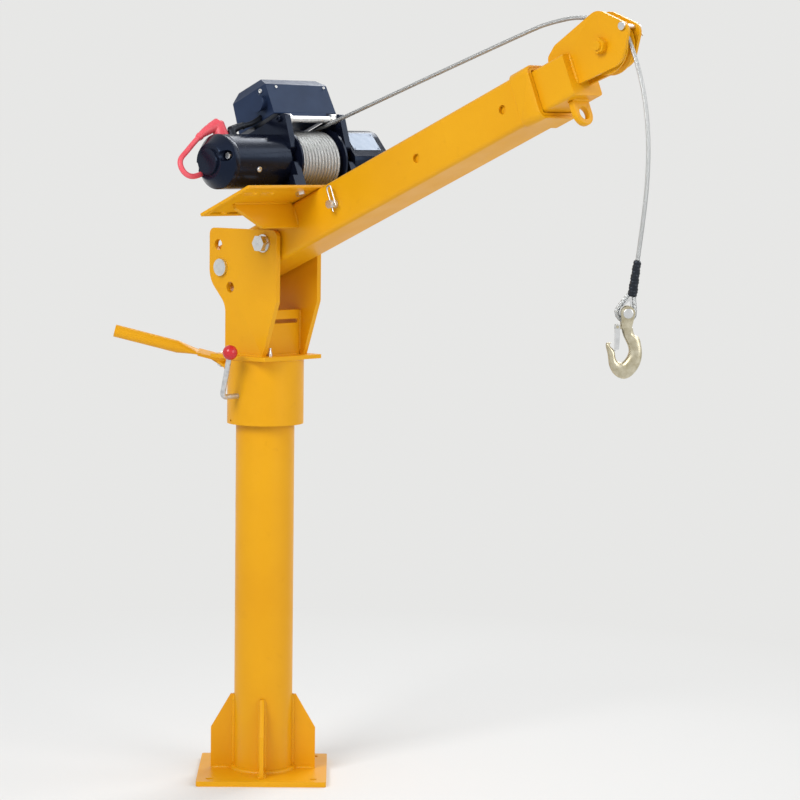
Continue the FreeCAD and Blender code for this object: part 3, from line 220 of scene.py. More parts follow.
RIVET = (0.0016, 0.0008)
RIVET_DS = (-0.018, 0.009)
RIVET_V = (SUPPORT_OUT + 0.009, SUPPORT_OUT + 0.059)
RIVET_SINK = 0.0001

# Widths of the broken edges of the solids
EDGE_WIDTHS = {
    "base_plate": 0.0012, "base_gussets": 0.0010, "top_flange": 0.0012, "side_plates": 0.0016,
    "front_web": 0.0010, "winch_plate": 0.0012, "plate_gussets": 0.0010, "head_cheeks": 0.0012,
    "eye_lug": 0.0016, "end_band": 0.0010, "drum_supports": 0.0014, "control_box": 0.0016,
    "motor_end_cap": 0.0010, "gear_housing": 0.0012, "pivot_bolt": 0.0008, "sheave_axle": 0.0010,
    "winch_bolts": 0.0006, "handle_bolt": 0.0006, "lock_pin_near": 0.0010, "lock_pin_far": 0.0010,
    "clutch_lever": 0.0010, "handle_leaf": 0.0008, "remote_socket": 0.0008, "boom_pin": 0.0006,
    "latch": 0.0003}
EDGE_ANGLE = math.radians(38)
EDGE_MERGE = 0.00001

# The studio: a lamp has its name, place, size and power; the camera is fitted to the photograph
BACKGROUND = (0.80, 0.80, 0.79)
FLOOR_SIZE = 40
FLOOR_FADE = (0.25, 1.5)
SKY_COLOUR = (0.90, 0.92, 0.95)
SKY_STRENGTH = 0.45
LAMP_AIM = Vector((0.15, -0.15, 0.7))
LAMPS = (("key", (-2.2, -3.2, 3.4), 2.0, 130), ("fill", (3.2, -2.6, 2.0), 2.4, 50),
         ("rim", (1.5, 2.8, 3.2), 2.0, 70), ("edge", (3.17, 0.35, 2.55), 1.6, 14))
CAMERA_AT = (0.11602, -4.20192, 0.97699)
CAMERA_YAW = math.radians(1.2055)
CAMERA_PITCH = math.radians(-5.4313)
CAMERA_ROLL = math.radians(0.6782)
CAMERA_LENS = 124.97
CAMERA_SENSOR = 36


def material(name):
    """New node material: its tree, its shader and its Object coordinates."""
    made = bpy.data.materials.new(name)
    made.use_nodes = True
    tree = made.node_tree
    coords = tree.nodes.new("ShaderNodeTexCoord")
    return made, tree, tree.nodes["Principled BSDF"], coords.outputs["Object"]


def noise(tree, vector, scale, detail=3.0, roughness=0.55):
    """Value of a noise texture."""
    node = tree.nodes.new("ShaderNodeTexNoise")
    node.inputs["Scale"].default_value = scale
    node.inputs["Detail"].default_value = detail
    node.inputs["Roughness"].default_value = roughness
    tree.links.new(vector, node.inputs["Vector"])
    return node.outputs["Fac"]


def ramp(tree, value, stops):
    """Colour ramp through (place, colour) stops."""
    node = tree.nodes.new("ShaderNodeValToRGB")
    band = node.color_ramp
    while len(band.elements) < len(stops):
        band.elements.new(0.5)
    for element, (place, colour) in zip(band.elements, stops):
        element.position = place
        element.color = (*colour, 1)
    tree.links.new(value, node.inputs["Fac"])
    return node.outputs["Color"]


def spread(tree, value, low, high, from_low=0.3, from_high=0.7):
    """Maps a noise to a range of numbers."""
    node = tree.nodes.new("ShaderNodeMapRange")
    node.inputs["From Min"].default_value = from_low
    node.inputs["From Max"].default_value = from_high
    node.inputs["To Min"].default_value = low
    node.inputs["To Max"].default_value = high
    tree.links.new(value, node.inputs["Value"])
    return node.outputs["Result"]


def mix(tree, factor, a, b):
    """Mixes two colour outputs, or an output and a fixed colour."""
    node = tree.nodes.new("ShaderNodeMix")
    node.data_type = "RGBA"
    tree.links.new(factor, node.inputs["Factor"])
    for socket, value in (("A", a), ("B", b)):
        target = [s for s in node.inputs if s.name == socket and s.type == "RGBA"][0]
        if isinstance(value, tuple):
            target.default_value = (*value, 1)
        else:
            tree.links.new(value, target)
    return [s for s in node.outputs if s.type == "RGBA"][0]


def bump(tree, shader, heights):
    """Chains bumps of (height, strength, distance) into the shader's normal."""
    normal = None
    for height, strength, distance in heights:
        node = tree.nodes.new("ShaderNodeBump")
        node.inputs["Strength"].default_value = strength
        node.inputs["Distance"].default_value = distance
        tree.links.new(height, node.inputs["Height"])
        if normal is not None:
            tree.links.new(normal, node.inputs["Normal"])
        normal = node.outputs["Normal"]
    tree.links.new(normal, shader.inputs["Normal"])


def yellow_enamel():
    """Sprayed enamel: slight colour drift, orange peel, a few rubbed spots."""
    made, tree, shader, at = material("yellow_enamel")
    drift = noise(tree, at, 5.0, 4)
    colour = ramp(tree, drift, [(0.3, (0.74, 0.335, 0.002)), (0.7, (0.80, 0.385, 0.004))])
    dirt = spread(tree, noise(tree, at, 38.0, 6, 0.7), 0.0, 0.30, 0.62, 0.80)
    colour = mix(tree, dirt, colour, (0.54, 0.22, 0.004))
    chips = spread(tree, noise(tree, at, 150.0, 5, 0.6), 0.0, 0.9, 0.755, 0.78)
    tree.links.new(mix(tree, chips, colour, (0.30, 0.15, 0.03)), shader.inputs["Base Color"])
    tree.links.new(spread(tree, noise(tree, at, 22.0, 4), 0.32, 0.46), shader.inputs["Roughness"])
    shader.inputs["Specular IOR Level"].default_value = 0.22
    shader.inputs["Coat Weight"].default_value = 0.05
    shader.inputs["Coat Roughness"].default_value = 0.15
    bump(tree, shader, [(noise(tree, at, 420.0, 2), 0.10, 0.0004), (noise(tree, at, 30.0, 3), 0.08, 0.002)])
    return made


def plated_steel(name, low, high, rough, grain):
    """Bare or plated metal with a mottled sheen."""
    made, tree, shader, at = material(name)
    colour = ramp(tree, noise(tree, at, 90.0, 5), [(0.3, low), (0.7, high)])
    tree.links.new(colour, shader.inputs["Base Color"])
    shader.inputs["Metallic"].default_value = 1.0
    tree.links.new(spread(tree, noise(tree, at, 140.0, 4), rough, rough + 0.16), shader.inputs["Roughness"])
    bump(tree, shader, [(noise(tree, at, grain, 3), 0.12, 0.0004)])
    return made


def galvanised_steel():
    """Dull grey zinc with a faint spangle."""
    made, tree, shader, at = material("galvanised_steel")
    cells = tree.nodes.new("ShaderNodeTexVoronoi")
    cells.inputs["Scale"].default_value = 160.0
    tree.links.new(at, cells.inputs["Vector"])
    colour = ramp(tree, cells.outputs["Distance"], [(0.1, (0.50, 0.51, 0.52)), (0.7, (0.66, 0.67, 0.68))])
    tree.links.new(colour, shader.inputs["Base Color"])
    shader.inputs["Metallic"].default_value = 0.9
    tree.links.new(spread(tree, noise(tree, at, 60.0, 4), 0.34, 0.52), shader.inputs["Roughness"])
    bump(tree, shader, [(noise(tree, at, 300.0, 3), 0.12, 0.0004)])
    return made


def gloss_black():
    """Stove-enamelled winch castings, near black with a fine peel; the blue of their reflections is a
    painted blue reflection from a blue specular tint.
    """
    made, tree, shader, at = material("gloss_black")
    drift = noise(tree, at, 12.0, 3)
    colour = ramp(tree, drift, [(0.3, (0.003, 0.004, 0.010)), (0.7, (0.006, 0.008, 0.018))])
    dust = spread(tree, noise(tree, at, 110.0, 6, 0.7), 0.0, 0.4, 0.66, 0.85)
    tree.links.new(mix(tree, dust, colour, (0.03, 0.034, 0.05)), shader.inputs["Base Color"])
    tree.links.new(spread(tree, noise(tree, at, 40.0, 4), 0.16, 0.30), shader.inputs["Roughness"])
    shader.inputs["Specular IOR Level"].default_value = 0.30
    # Painted blue reflection: the blue specular tint makes the black enamel's reflections blue.
    shader.inputs["Specular Tint"].default_value = (0.42, 0.60, 0.95, 1)
    bump(tree, shader, [(noise(tree, at, 380.0, 2), 0.10, 0.0004)])
    return made


def moulded_black(name, low, high, rough, grain, painted_reflection_tint=(0.70, 0.80, 1.0)):
    """Moulded plastic or rubber with a fine grain; its blue specular tint is a painted blue reflection."""
    made, tree, shader, at = material(name)
    colour = ramp(tree, noise(tree, at, 30.0, 4), [(0.3, low), (0.7, high)])
    tree.links.new(colour, shader.inputs["Base Color"])
    shader.inputs["Specular IOR Level"].default_value = 0.42
    # Painted blue reflection: the specular tint turns the reflections of the black plastic blue.
    shader.inputs["Specular Tint"].default_value = (*painted_reflection_tint, 1)
    tree.links.new(spread(tree, noise(tree, at, 70.0, 4), rough, rough + 0.14), shader.inputs["Roughness"])
    bump(tree, shader, [(noise(tree, at, grain, 3), 0.22, 0.0003)])
    return made


def red_skin(name, low, high, rough):
    """Red plastic or rubber."""
    made, tree, shader, at = material(name)
    colour = ramp(tree, noise(tree, at, 60.0, 4), [(0.3, low), (0.7, high)])
    tree.links.new(colour, shader.inputs["Base Color"])
    tree.links.new(spread(tree, noise(tree, at, 90.0, 3), rough, rough + 0.12), shader.inputs["Roughness"])
    bump(tree, shader, [(noise(tree, at, 260.0, 3), 0.10, 0.0004)])
    return made


def wire_rope():
    """Laid steel wire: the small wires cross each strand."""
    made, tree, shader, at = material("wire_rope")
    along = tree.nodes.new("ShaderNodeUVMap")
    wires = tree.nodes.new("ShaderNodeTexWave")
    wires.wave_type = "BANDS"
    wires.bands_direction = "DIAGONAL"
    wires.inputs["Scale"].default_value = 5.5
    wires.inputs["Distortion"].default_value = 0.6
    tree.links.new(along.outputs["UV"], wires.inputs["Vector"])
    # The wires are painted darker in the grooves between them, where the bump is low: painted shade.
    colour = ramp(tree, wires.outputs["Fac"], [(0.15, (0.27, 0.28, 0.28)), (0.7, (0.62, 0.63, 0.63))])
    tree.links.new(colour, shader.inputs["Base Color"])
    shader.inputs["Metallic"].default_value = 0.8
    tree.links.new(spread(tree, noise(tree, at, 200.0, 3), 0.32, 0.48), shader.inputs["Roughness"])
    bump(tree, shader, [(wires.outputs["Fac"], 0.35, 0.0003)])
    return made


def make_finishes():
    """One finish for each of the record's material slots."""
    return {
        "yellow_paint": yellow_enamel(),
        "zinc": plated_steel("bright_zinc", (0.62, 0.63, 0.63), (0.80, 0.80, 0.79), 0.24, 500.0),
        "galvanised": galvanised_steel(),
        "knob_red": red_skin("red_ball", (0.52, 0.012, 0.020), (0.60, 0.020, 0.030), 0.14),
        "winch_black": gloss_black(),
        # The control box's navy base colour and its strong blue specular tint are a painted blue reflection
        # on black plastic.
        "box_black": moulded_black("box_plastic", (0.010, 0.017, 0.042), (0.016, 0.027, 0.062), 0.3, 500,
                                   (0.34, 0.56, 1.0)),
        "plate_silver": plated_steel("plate_alloy", (0.28, 0.33, 0.41), (0.36, 0.41, 0.49), 0.38, 700.0),
        "rotor_steel": plated_steel("rotor_steel", (0.30, 0.30, 0.31), (0.42, 0.42, 0.43), 0.34, 400.0),
        "rope_steel": wire_rope(),
        "hook_zinc": plated_steel("hook_zinc", (0.44, 0.39, 0.26), (0.72, 0.67, 0.52), 0.28, 160.0),
        "bright_steel": plated_steel("bright_steel", (0.66, 0.67, 0.68), (0.80, 0.81, 0.82), 0.20, 500.0),
        "sleeve_black": moulded_black("sleeve_rubber", (0.006, 0.007, 0.009), (0.012, 0.013, 0.016),
                                      0.34, 300),
        "lead_red": red_skin("lead_rubber", (0.76, 0.070, 0.100), (0.86, 0.120, 0.150), 0.36),
        "bronze": plated_steel("bush_bronze", (0.42, 0.27, 0.10), (0.52, 0.36, 0.15), 0.34, 400.0),
        "pad_black": moulded_black("pad_nylon", (0.010, 0.011, 0.014), (0.018, 0.019, 0.024), 0.5, 300),
    }


def dress_nodes(finishes):
    """Gives each solid the finish of its slot."""
    for part in frame["record"]["subparts"]:
        node = frame["nodes"][part["node"]]
        node.data.materials.clear()
        node.data.materials.append(finishes[part["material_slot"]])


def ease_edges():
    """Breaks the sharp edges of plates, castings and bolt heads."""
    for name, width in EDGE_WIDTHS.items():
        node = frame["nodes"][name]
        merge = node.modifiers.new("merge", "WELD")
        merge.merge_threshold = EDGE_MERGE
        edge = node.modifiers.new("edge", "BEVEL")
        edge.width = width
        edge.segments = 2
        edge.limit_method = "ANGLE"
        edge.angle_limit = EDGE_ANGLE
        edge.harden_normals = True


def clear_selection():
    """Leaves no piece selected."""
    bpy.ops.object.select_all(action="DESELECT")


def pick(piece):
    """Makes one piece the only selected one."""
    clear_selection()
    bpy.context.view_layer.objects.active = piece
    piece.select_set(True)


def settle(piece, place):
    """Puts the piece's place into its mesh."""
    pick(piece)
    piece.matrix_world = place @ piece.matrix_world
    bpy.ops.object.transform_apply(location=True, rotation=True, scale=True)


def apply_modifiers(piece):
    """Works the modifiers into the piece's mesh."""
    pick(piece)
    for modifier in list(piece.modifiers):
        bpy.ops.object.modifier_apply(modifier=modifier.name)


def join(pieces, name):
    """Makes one named piece of several."""
    pick(pieces[0])
    for piece in pieces:
        piece.select_set(True)
    bpy.ops.object.join()
    whole = bpy.context.object
    whole.name = name
    whole.data.name = name
    return whole


def duplicate(piece):
    """Copy of a piece, with a mesh of its own."""
    twin = piece.copy()
    twin.data = piece.data.copy()
    bpy.context.scene.collection.objects.link(twin)
    return twin


def choose_none(piece, kind):
    """Sets the kind of mesh element that is selected, and selects none."""
    pick(piece)
    bpy.ops.object.mode_set(mode="EDIT")
    bpy.ops.mesh.select_mode(type=kind)
    bpy.ops.mesh.select_all(action="DESELECT")
    bpy.ops.object.mode_set(mode="OBJECT")


def choose_faces(piece, wanted):
    """Goes into edit mode with just the wanted faces selected."""
    choose_none(piece, "FACE")
    for face in piece.data.polygons:
        face.select = wanted(face)
    bpy.ops.object.mode_set(mode="EDIT")


def choose_edges(piece, wanted):
    """Goes into edit mode with just the wanted edges selected."""
    choose_none(piece, "EDGE")
    corners = piece.data.vertices
    for edge in piece.data.edges:
        edge.select = wanted(*(corners[i].co for i in edge.vertices))
    bpy.ops.object.mode_set(mode="EDIT")


def finish_modelling(piece, angle=40):
    """Leaves edit mode with smooth shading between the sharp edges."""
    bpy.ops.object.mode_set(mode="OBJECT")
    pick(piece)
    bpy.ops.object.shade_smooth_by_angle(angle=math.radians(angle))


def coat(piece, finishes, slot):
    """Gives the piece a slot and that slot's finish."""
    piece.data.materials.clear()
    piece.data.materials.append(finishes[slot])


def finish_piece(piece, finishes, slot, body):
    """Coats the piece and fixes it to a body."""
    coat(piece, finishes, slot)
    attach(piece, body)


def boom_at(s, v, t):
    """World place of a point in the boom's axes."""
    return BOOM @ Vector((s, v, t))


def nurbs_line(points):
    """Points along the smooth spline that has these control points."""
    curve = bpy.data.curves.new("route", "CURVE")
    curve.dimensions = "3D"
    curve.resolution_u = 10
    spline = curve.splines.new("NURBS")
    spline.points.add(len(points) - 1)
    for target, point in zip(spline.points, points):
        target.co = (*point, 1)
    spline.order_u = 3
    spline.use_endpoint_u = True
    holder = bpy.data.objects.new("route", curve)
    bpy.context.scene.collection.objects.link(holder)
    bpy.context.view_layer.update()
    flat = bpy.data.meshes.new_from_object(holder.evaluated_get(bpy.context.evaluated_depsgraph_get()))
    line = [v.co.copy() for v in flat.vertices]
    bpy.data.objects.remove(holder)
    bpy.data.curves.remove(curve)
    bpy.data.meshes.remove(flat)
    return line


def even_steps(line, step):
    """The same line at even steps, and its length."""
    lengths = [0.0]
    for a, b in zip(line, line[1:]):
        lengths.append(lengths[-1] + (b - a).length)
    count = max(2, round(lengths[-1] / step))
    found = []
    i = 0
    for k in range(count + 1):
        want = lengths[-1] * k / count
        while i < len(line) - 2 and lengths[i + 1] < want:
            i += 1
        part = (want - lengths[i]) / max(lengths[i + 1] - lengths[i], 1e-12)
        found.append(line[i].lerp(line[i + 1], part))
    return found, lengths[-1]


def frames_along(line):
    """A heading and a side at each point; the side turns no more than the line."""
    heads = []
    for i in range(len(line)):
        a = line[max(i - 1, 0)]
        b = line[min(i + 1, len(line) - 1)]
        heads.append((b - a).normalized())
    side = heads[0].orthogonal().normalized()
    sides = []
    for head in heads:
        side = (side - head * side.dot(head)).normalized()
        sides.append(side)
    return heads, sides


def swept_tube(name, line, radius_at, around):
    """Closed tube on a line; radius_at(turn, length) gives the section."""
    heads, sides = frames_along(line)
    points = []
    travelled = 0.0
    lengths = []
    for i, (centre, head, side) in enumerate(zip(line, heads, sides)):
        if i:
            travelled += (centre - line[i - 1]).length
        lengths.append(travelled)
        other = head.cross(side)
        for k in range(around):
            turn = 2 * math.pi * k / around
            radius = radius_at(turn, travelled)
            points.append(centre + (side * math.cos(turn) + other * math.sin(turn)) * radius)
    faces = []
    for i in range(len(line) - 1):
        for k in range(around):
            n = (k + 1) % around
            faces.append((i * around + k, i * around + n, (i + 1) * around + n, (i + 1) * around + k))
    faces.append(tuple(range(around - 1, -1, -1)))
    faces.append(tuple((len(line) - 1) * around + k for k in range(around)))
    mesh = bpy.data.meshes.new(name)
    mesh.from_pydata(points, [], faces)
    layer = mesh.uv_layers.new(name="UVMap")
    for polygon in mesh.polygons:
        polygon.use_smooth = len(polygon.vertices) == 4
        for loop, vertex in zip(polygon.loop_indices, polygon.vertices):
            ring, k = divmod(vertex, around)
            wrap = 1.0 if polygon.vertices[0] % around == around - 1 and k == 0 else 0.0
            layer.data[loop].uv = ((k / around + wrap) * ROPE_STRANDS, lengths[ring] / (2 * ROPE_R))
    mesh.update()
    made = bpy.data.objects.new(name, mesh)
    bpy.context.scene.collection.objects.link(made)
    return made


def laid_rope(name, points, step=ROPE_STEP):
    """Laid wire rope along the smooth line of the control points."""
    line, length = even_steps(nurbs_line(points), step)

    def lobes(turn, travelled):
        """Radius over the strands, which turn along the rope."""
        phase = ROPE_STRANDS / 2 * (turn - 2 * math.pi * travelled / ROPE_LAY)
        return ROPE_R * (1 - ROPE_GROOVE + ROPE_GROOVE * abs(math.cos(phase)) ** 0.7)

    return swept_tube(name, line, lobes, ROPE_SIDES), line, length


def on_winding(turn, grow=1.0):
    """Middle of the rope on the drum, in turns from the winding's end; grow swells its radius."""
    angle = 2 * math.pi * turn
    share = min(max(1 + (turn - WIND_LEAD / 360) / WIND_CLIMB_TURNS, 0), 1)
    radius = (WIND_R + WIND_CLIMB * share * share * (3 - 2 * share)) * grow
    return Vector((WINCH_S + radius * math.sin(angle), WIND_START + WIND_PITCH * (turn + WIND_TURNS),
                   WINCH_T + radius * math.cos(angle)))


def rope_on_drum(finishes):
    """The winding: one layer, whose last turn climbs to where the rope leaves the drum."""
    outside = 1 / math.cos(math.pi / WIND_STEPS / 2)
    steps = WIND_TURNS * WIND_STEPS
    turns = [i / WIND_STEPS - WIND_TURNS + WIND_LEAD / 360 for i in range(steps + 1)]
    points = [BOOM @ on_winding(turn, outside) for turn in turns]
    rope, _line, _length = laid_rope("rope_turns", points, WIND_ROPE_STEP)
    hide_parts("rope_winding")
    finish_piece(rope, finishes, "rope_steel", "drum_set")


def rope_to_head(finishes):
    """Rope from the drum to the sheave."""
    arrive = math.radians(SPAN_ARRIVE)
    end = AXLE + Vector((math.cos(arrive), 0, math.sin(arrive))) * SHEAVE_PITCH_R
    points = [on_winding(WIND_LEAD / 360)] + [AXLE + Vector(p) for p in SPAN_ROUTE] + [end]
    rope, line, length = laid_rope("rope_lead", [BOOM @ p for p in points])
    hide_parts("rope_span")
    coat(rope, finishes, "rope_steel")
    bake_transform(rope)


def rope_loop(finishes):
    """Rope eye round the thimble, with both legs going up into the sleeve."""
    head = MAST @ (MAST.inverted() @ HOOK_AT + SLEEVE_TIP) - HOOK_AT
    peak = SLEEVE_FOOT + (head - SLEEVE_FOOT).normalized() * LOOP_TIP - LOOP_CENTRE
    length = math.hypot(peak.x, peak.z)
    lean = math.asin(LOOP_R / length)
    tip = Vector((0, 0, length))
    low = [Vector((side * LOOP_R * math.cos(lean), 0, LOOP_R * math.sin(lean))) for side in (1, -1)]
    high = [foot + (tip - foot) * LOOP_SHARE for foot in low]
    step = (math.pi + 2 * lean) / LOOP_BENDS
    reach = LOOP_R / math.cos(step / 2)
    bowl = []
    for k in range(LOOP_BENDS):
        angle = lean - (k + 0.5) * step
        bowl.append(Vector((reach * math.cos(angle), 0, reach * math.sin(angle))))
    place = (Matrix.Translation(HOOK_AT + LOOP_CENTRE)
             @ Matrix.Rotation(math.atan2(peak.x, peak.z), 4, "Y"))
    points = [place @ p for p in [high[0]] + bowl + [high[1]]]
    rope, _line, _length = laid_rope("rope_loop", points, LOOP_ROPE_STEP)
    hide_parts("rope_eye")
    finish_piece(rope, finishes, "rope_steel", "rope_end")
    return rope


def shrink_sleeve(finishes):
    """Crumpled shrink sleeve over the rope's splice."""
    foot = HOOK_AT + SLEEVE_FOOT
    tip = MAST @ (MAST.inverted() @ HOOK_AT + SLEEVE_TIP)
    line, length = even_steps([foot, tip], SLEEVE_STEP)

    def crumple(turn, travelled):
        """Radius of the tapering sleeve with its folds and rings."""
        share = travelled / length
        taper = 0.92 - 0.20 * share
        folds = 0.045 * math.sin(3 * turn + 26 * share)
        rings = 0.035 * math.sin(70 * share + 2.2 * math.sin(turn + 1))
        mouth = max(0, 2 * abs(share - 0.5) - 0.9)
        return SLEEVE_R * (taper + folds + rings - mouth)

    sleeve = swept_tube("shrink_sleeve", line, crumple, SLEEVE_SIDES)
    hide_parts("rope_sleeve")
    finish_piece(sleeve, finishes, "sleeve_black", "rope_end")
    return sleeve


def rope_from_head(finishes):
    """Rope round the sheave and down to the sleeve."""
    axle = MAST.inverted() @ (BOOM @ AXLE)
    first = SPAN_ARRIVE + math.degrees(LUFF) - FALL_AFTER_SPAN
    points = []
    for k in range(FALL_WRAP_STEPS + 1):
        angle = math.radians(first + (FALL_LEAVE - first) * k / FALL_WRAP_STEPS)
        points.append(axle + Vector((math.cos(angle), 0, math.sin(angle))) * SHEAVE_PITCH_R)
    points += [axle + Vector((x, 0, z)) for x, z in FALL_ROUTE]
    tip = MAST.inverted() @ HOOK_AT + SLEEVE_TIP
    points.append(tip)
    rope, line, length = laid_rope("rope_drop", [MAST @ p for p in points])
    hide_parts("rope_fall")
    coat(rope, finishes, "rope_steel")
    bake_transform(rope)


def motor_lead(name, points, finishes, slot, node):
    """Insulated lead from a terminal post of the motor."""
    line, length = even_steps(nurbs_line([BOOM @ Vector(p) for p in points]), LEAD_STEP)
    lead = swept_tube(name + "_wire", line, lambda turn, travelled: LEAD_R, LEAD_SIDES)
    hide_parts(node)
    finish_piece(lead, finishes, slot, "boom")
    return line


def rubber_boot(name, post, size, line, finishes, slot):
    """Moulded boot: a bell on the post that runs out into a sleeve on the lead."""
    rise, swell, reach = size
    clear_selection()
    bpy.ops.mesh.primitive_cone_add(vertices=BOOT_SIDES, radius1=LEAD_R + 1.3 * swell,
                                    radius2=LEAD_R + 0.9 * swell, depth=rise, location=(0, 0, rise / 2))
    bell = bpy.context.object
    choose_faces(bell, lambda face: face.normal.z > 0.9)
    bpy.ops.mesh.bevel(offset=BOOT_BEVEL, segments=4, affect="EDGES")
    bpy.ops.object.mode_set(mode="OBJECT")
    settle(bell, BOOM @ Matrix.Translation(post))
    sleeve_line, length = even_steps(line[:reach], BOOT_STEP)

    def waist(turn, travelled):
        """Radius of the boot's sleeve, with a groove and an end lip."""
        share = travelled / length
        lip = 0.0010 * (share > 0.86) - 0.0006 * (0.35 < share < 0.42)
        return LEAD_R + swell * (1 - share) ** 0.9 + lip

    sleeve = swept_tube(name, sleeve_line, waist, BOOT_SLEEVE_SIDES)
    boot = join([bell, sleeve], name)
    mould = boot.modifiers.new("mould", "REMESH")
    mould.mode = "VOXEL"
    mould.voxel_size = BOOT_VOXEL
    mould.use_smooth_shade = True
    soften = boot.modifiers.new("soften", "SMOOTH")
    soften.factor = 0.5
    soften.iterations = 4
    apply_modifiers(boot)
    finish_piece(boot, finishes, slot, "boom")


def bead(a, b, radius):
    """Rippled weld bead between two points."""
    clear_selection()
    length = (b - a).length
    bpy.ops.mesh.primitive_cylinder_add(vertices=BEAD_SIDES, radius=radius, depth=length)
    piece = bpy.context.object
    choose_edges(piece, lambda p, q: abs(p.z - q.z) > length / 2)
    bpy.ops.mesh.subdivide(number_cuts=max(6, round(length / BEAD_STEP)))
    finish_modelling(piece, 60)
    for corner in piece.data.vertices:
        phase = math.pi * corner.co.z / BEAD_RIPPLE + 0.25 * math.sin(310 * corner.co.z)
        ripple = 1 - BEAD_DEPTH + BEAD_DEPTH * abs(math.sin(phase))
        close = min((length / 2 - abs(corner.co.z)) / (2 * radius), 1)
        corner.co.x *= ripple * (BEAD_TIP + (1 - BEAD_TIP) * close)
        corner.co.y *= ripple * (BEAD_TIP + (1 - BEAD_TIP) * close)
    turn = (b - a).to_track_quat("Z", "Y").to_matrix().to_4x4()
    settle(piece, Matrix.Translation((a + b) / 2) @ turn)
    return piece


def ring_bead(ring_radius, radius, height):
    """Rippled weld bead round an upright tube."""
    clear_selection()
    bpy.ops.mesh.primitive_torus_add(major_radius=ring_radius, minor_radius=radius,
                                     major_segments=BEAD_RING_STEPS, minor_segments=BEAD_SIDES,
                                     location=(0, 0, height))
    piece = bpy.context.object
    settle(piece, GROUND)
    for corner in piece.data.vertices:
        angle = math.atan2(corner.co.y, corner.co.x)
        middle = Vector((ring_radius * math.cos(angle), ring_radius * math.sin(angle), height))
        phase = BEAD_RING_RIPPLES * angle + 0.4 * math.sin(7 * angle)
        ripple = 1 - BEAD_DEPTH + BEAD_DEPTH * abs(math.sin(phase))
        corner.co = middle + (corner.co - middle) * ripple
    pick(piece)
    bpy.ops.object.shade_smooth()
    return piece


def weld_run(place, lines, radius):
    """Beads along several lines, given in the axes of the place."""
    return [bead(place @ Vector(a), place @ Vector(b), radius) for a, b in lines]


def foot_welds(finishes):
    """Beads of the column and its gussets on the base plate."""
    beads = [ring_bead(COLUMN_R, FOOT_RING_BEAD, FOOT_T)]
    for i in range(GUSSETS):
        turn = Matrix.Rotation(2 * math.pi / GUSSETS * i, 4, "Z")
        lines = []
        for side in (-GUSSET_HALF, GUSSET_HALF):
            lines.append(((COLUMN_R + FOOT_CLEAR, side, FOOT_T),
                          (COLUMN_R + GUSSET_REACH - BEAD_INSET, side, FOOT_T)))
            lines.append(((COLUMN_R - BEAD_SINK, side, FOOT_T + FOOT_CLEAR),
                          (COLUMN_R - BEAD_SINK, side, FOOT_T + GUSSET_H)))
        beads += weld_run(turn, lines, FOOT_BEAD)
    finish_piece(join(beads, "foot_welds"), finishes, "yellow_paint", "base")


def mast_welds(finishes):
    """Beads of the collar, the clevis plates and the front web."""
    rim = ring_bead(COLLAR_R - BEAD_SINK, RIM_BEAD, FLANGE_Z)
    settle(rim, MAST)
    lines = []
    rear = CHEEK_FOOT_REAR + BEAD_INSET
    for face in (-CHEEK_OUT, CHEEK_OUT):
        lines.append(((rear, face, DECK_Z), (CHEEK_FOOT_FRONT - BEAD_INSET, face, DECK_Z)))
    for face in (-CHEEK_IN, CHEEK_IN):
        lines.append(((rear, face, DECK_Z), (WEB_X - WEB_REAR_CLEAR, face, DECK_Z)))
        for x in (WEB_X, WEB_X + WEB_T):
            lines.append(((x, face, DECK_Z + WEB_FOOT_CLEAR), (x, face, DECK_Z + WEB_H)))
    lines.append(((WEB_X + WEB_T, -CHEEK_IN + WEB_SIDE_CLEAR, DECK_Z),
                  (WEB_X + WEB_T, CHEEK_IN - WEB_SIDE_CLEAR, DECK_Z)))
    beads = [rim] + weld_run(MAST, lines, MAST_BEAD)
    finish_piece(join(beads, "mast_welds"), finishes, "yellow_paint", "mast")


def boom_welds(finishes):
    """Beads of the end band, the winch plate and its gussets."""
    lines = []
    s = BOOM_END - BAND_L
    straight = BOOM_HALF - BAND_CORNER
    for side in (-BOOM_HALF, BOOM_HALF):
        lines.append(((s, side, BOOM_MID - straight), (s, side, BOOM_MID + straight)))
        lines.append(((s, -straight, BOOM_MID + side), (s, straight, BOOM_MID + side)))
    for side, reach in ((-1, STAY_NEAR), (1, STAY_FAR)):
        for face in (STAY_S, STAY_S + STAY_T):
            lines.append(((face, side * BOOM_HALF, STAY_LOW),
                          (face, side * BOOM_HALF, BOOM_TOP - STAY_TOP_CLEAR)))
            lines.append(((face, side * (BOOM_HALF + STAY_SIDE_CLEAR), BOOM_TOP),
                          (face, side * (BOOM_HALF + reach), BOOM_TOP)))
    finish_piece(join(weld_run(BOOM, lines, BOOM_BEAD), "boom_welds"), finishes, "yellow_paint", "boom")


def head_welds(finishes):
    """Beads of the head cheeks and the eye lug on the inner tube."""
    lines = []
    root = INNER_END - HEAD_ROOT
    for face in (-HEAD_OUT, HEAD_OUT):
        lines.append(((root + BEAD_INSET, face, INNER_TOP), (INNER_END, face, INNER_TOP)))
        lines.append(((INNER_END, face, HEAD_LOW + BEAD_INSET), (INNER_END, face, INNER_TOP)))
    for s in (EYE_S, EYE_S + EYE_T):
        lines.append(((s, -EYE_R + BEAD_INSET, INNER_LOW), (s, EYE_R - BEAD_INSET, INNER_LOW)))
    beads = weld_run(BOOM, lines, HEAD_BEAD)
    finish_piece(join(beads, "head_welds"), finishes, "yellow_paint", "extension")


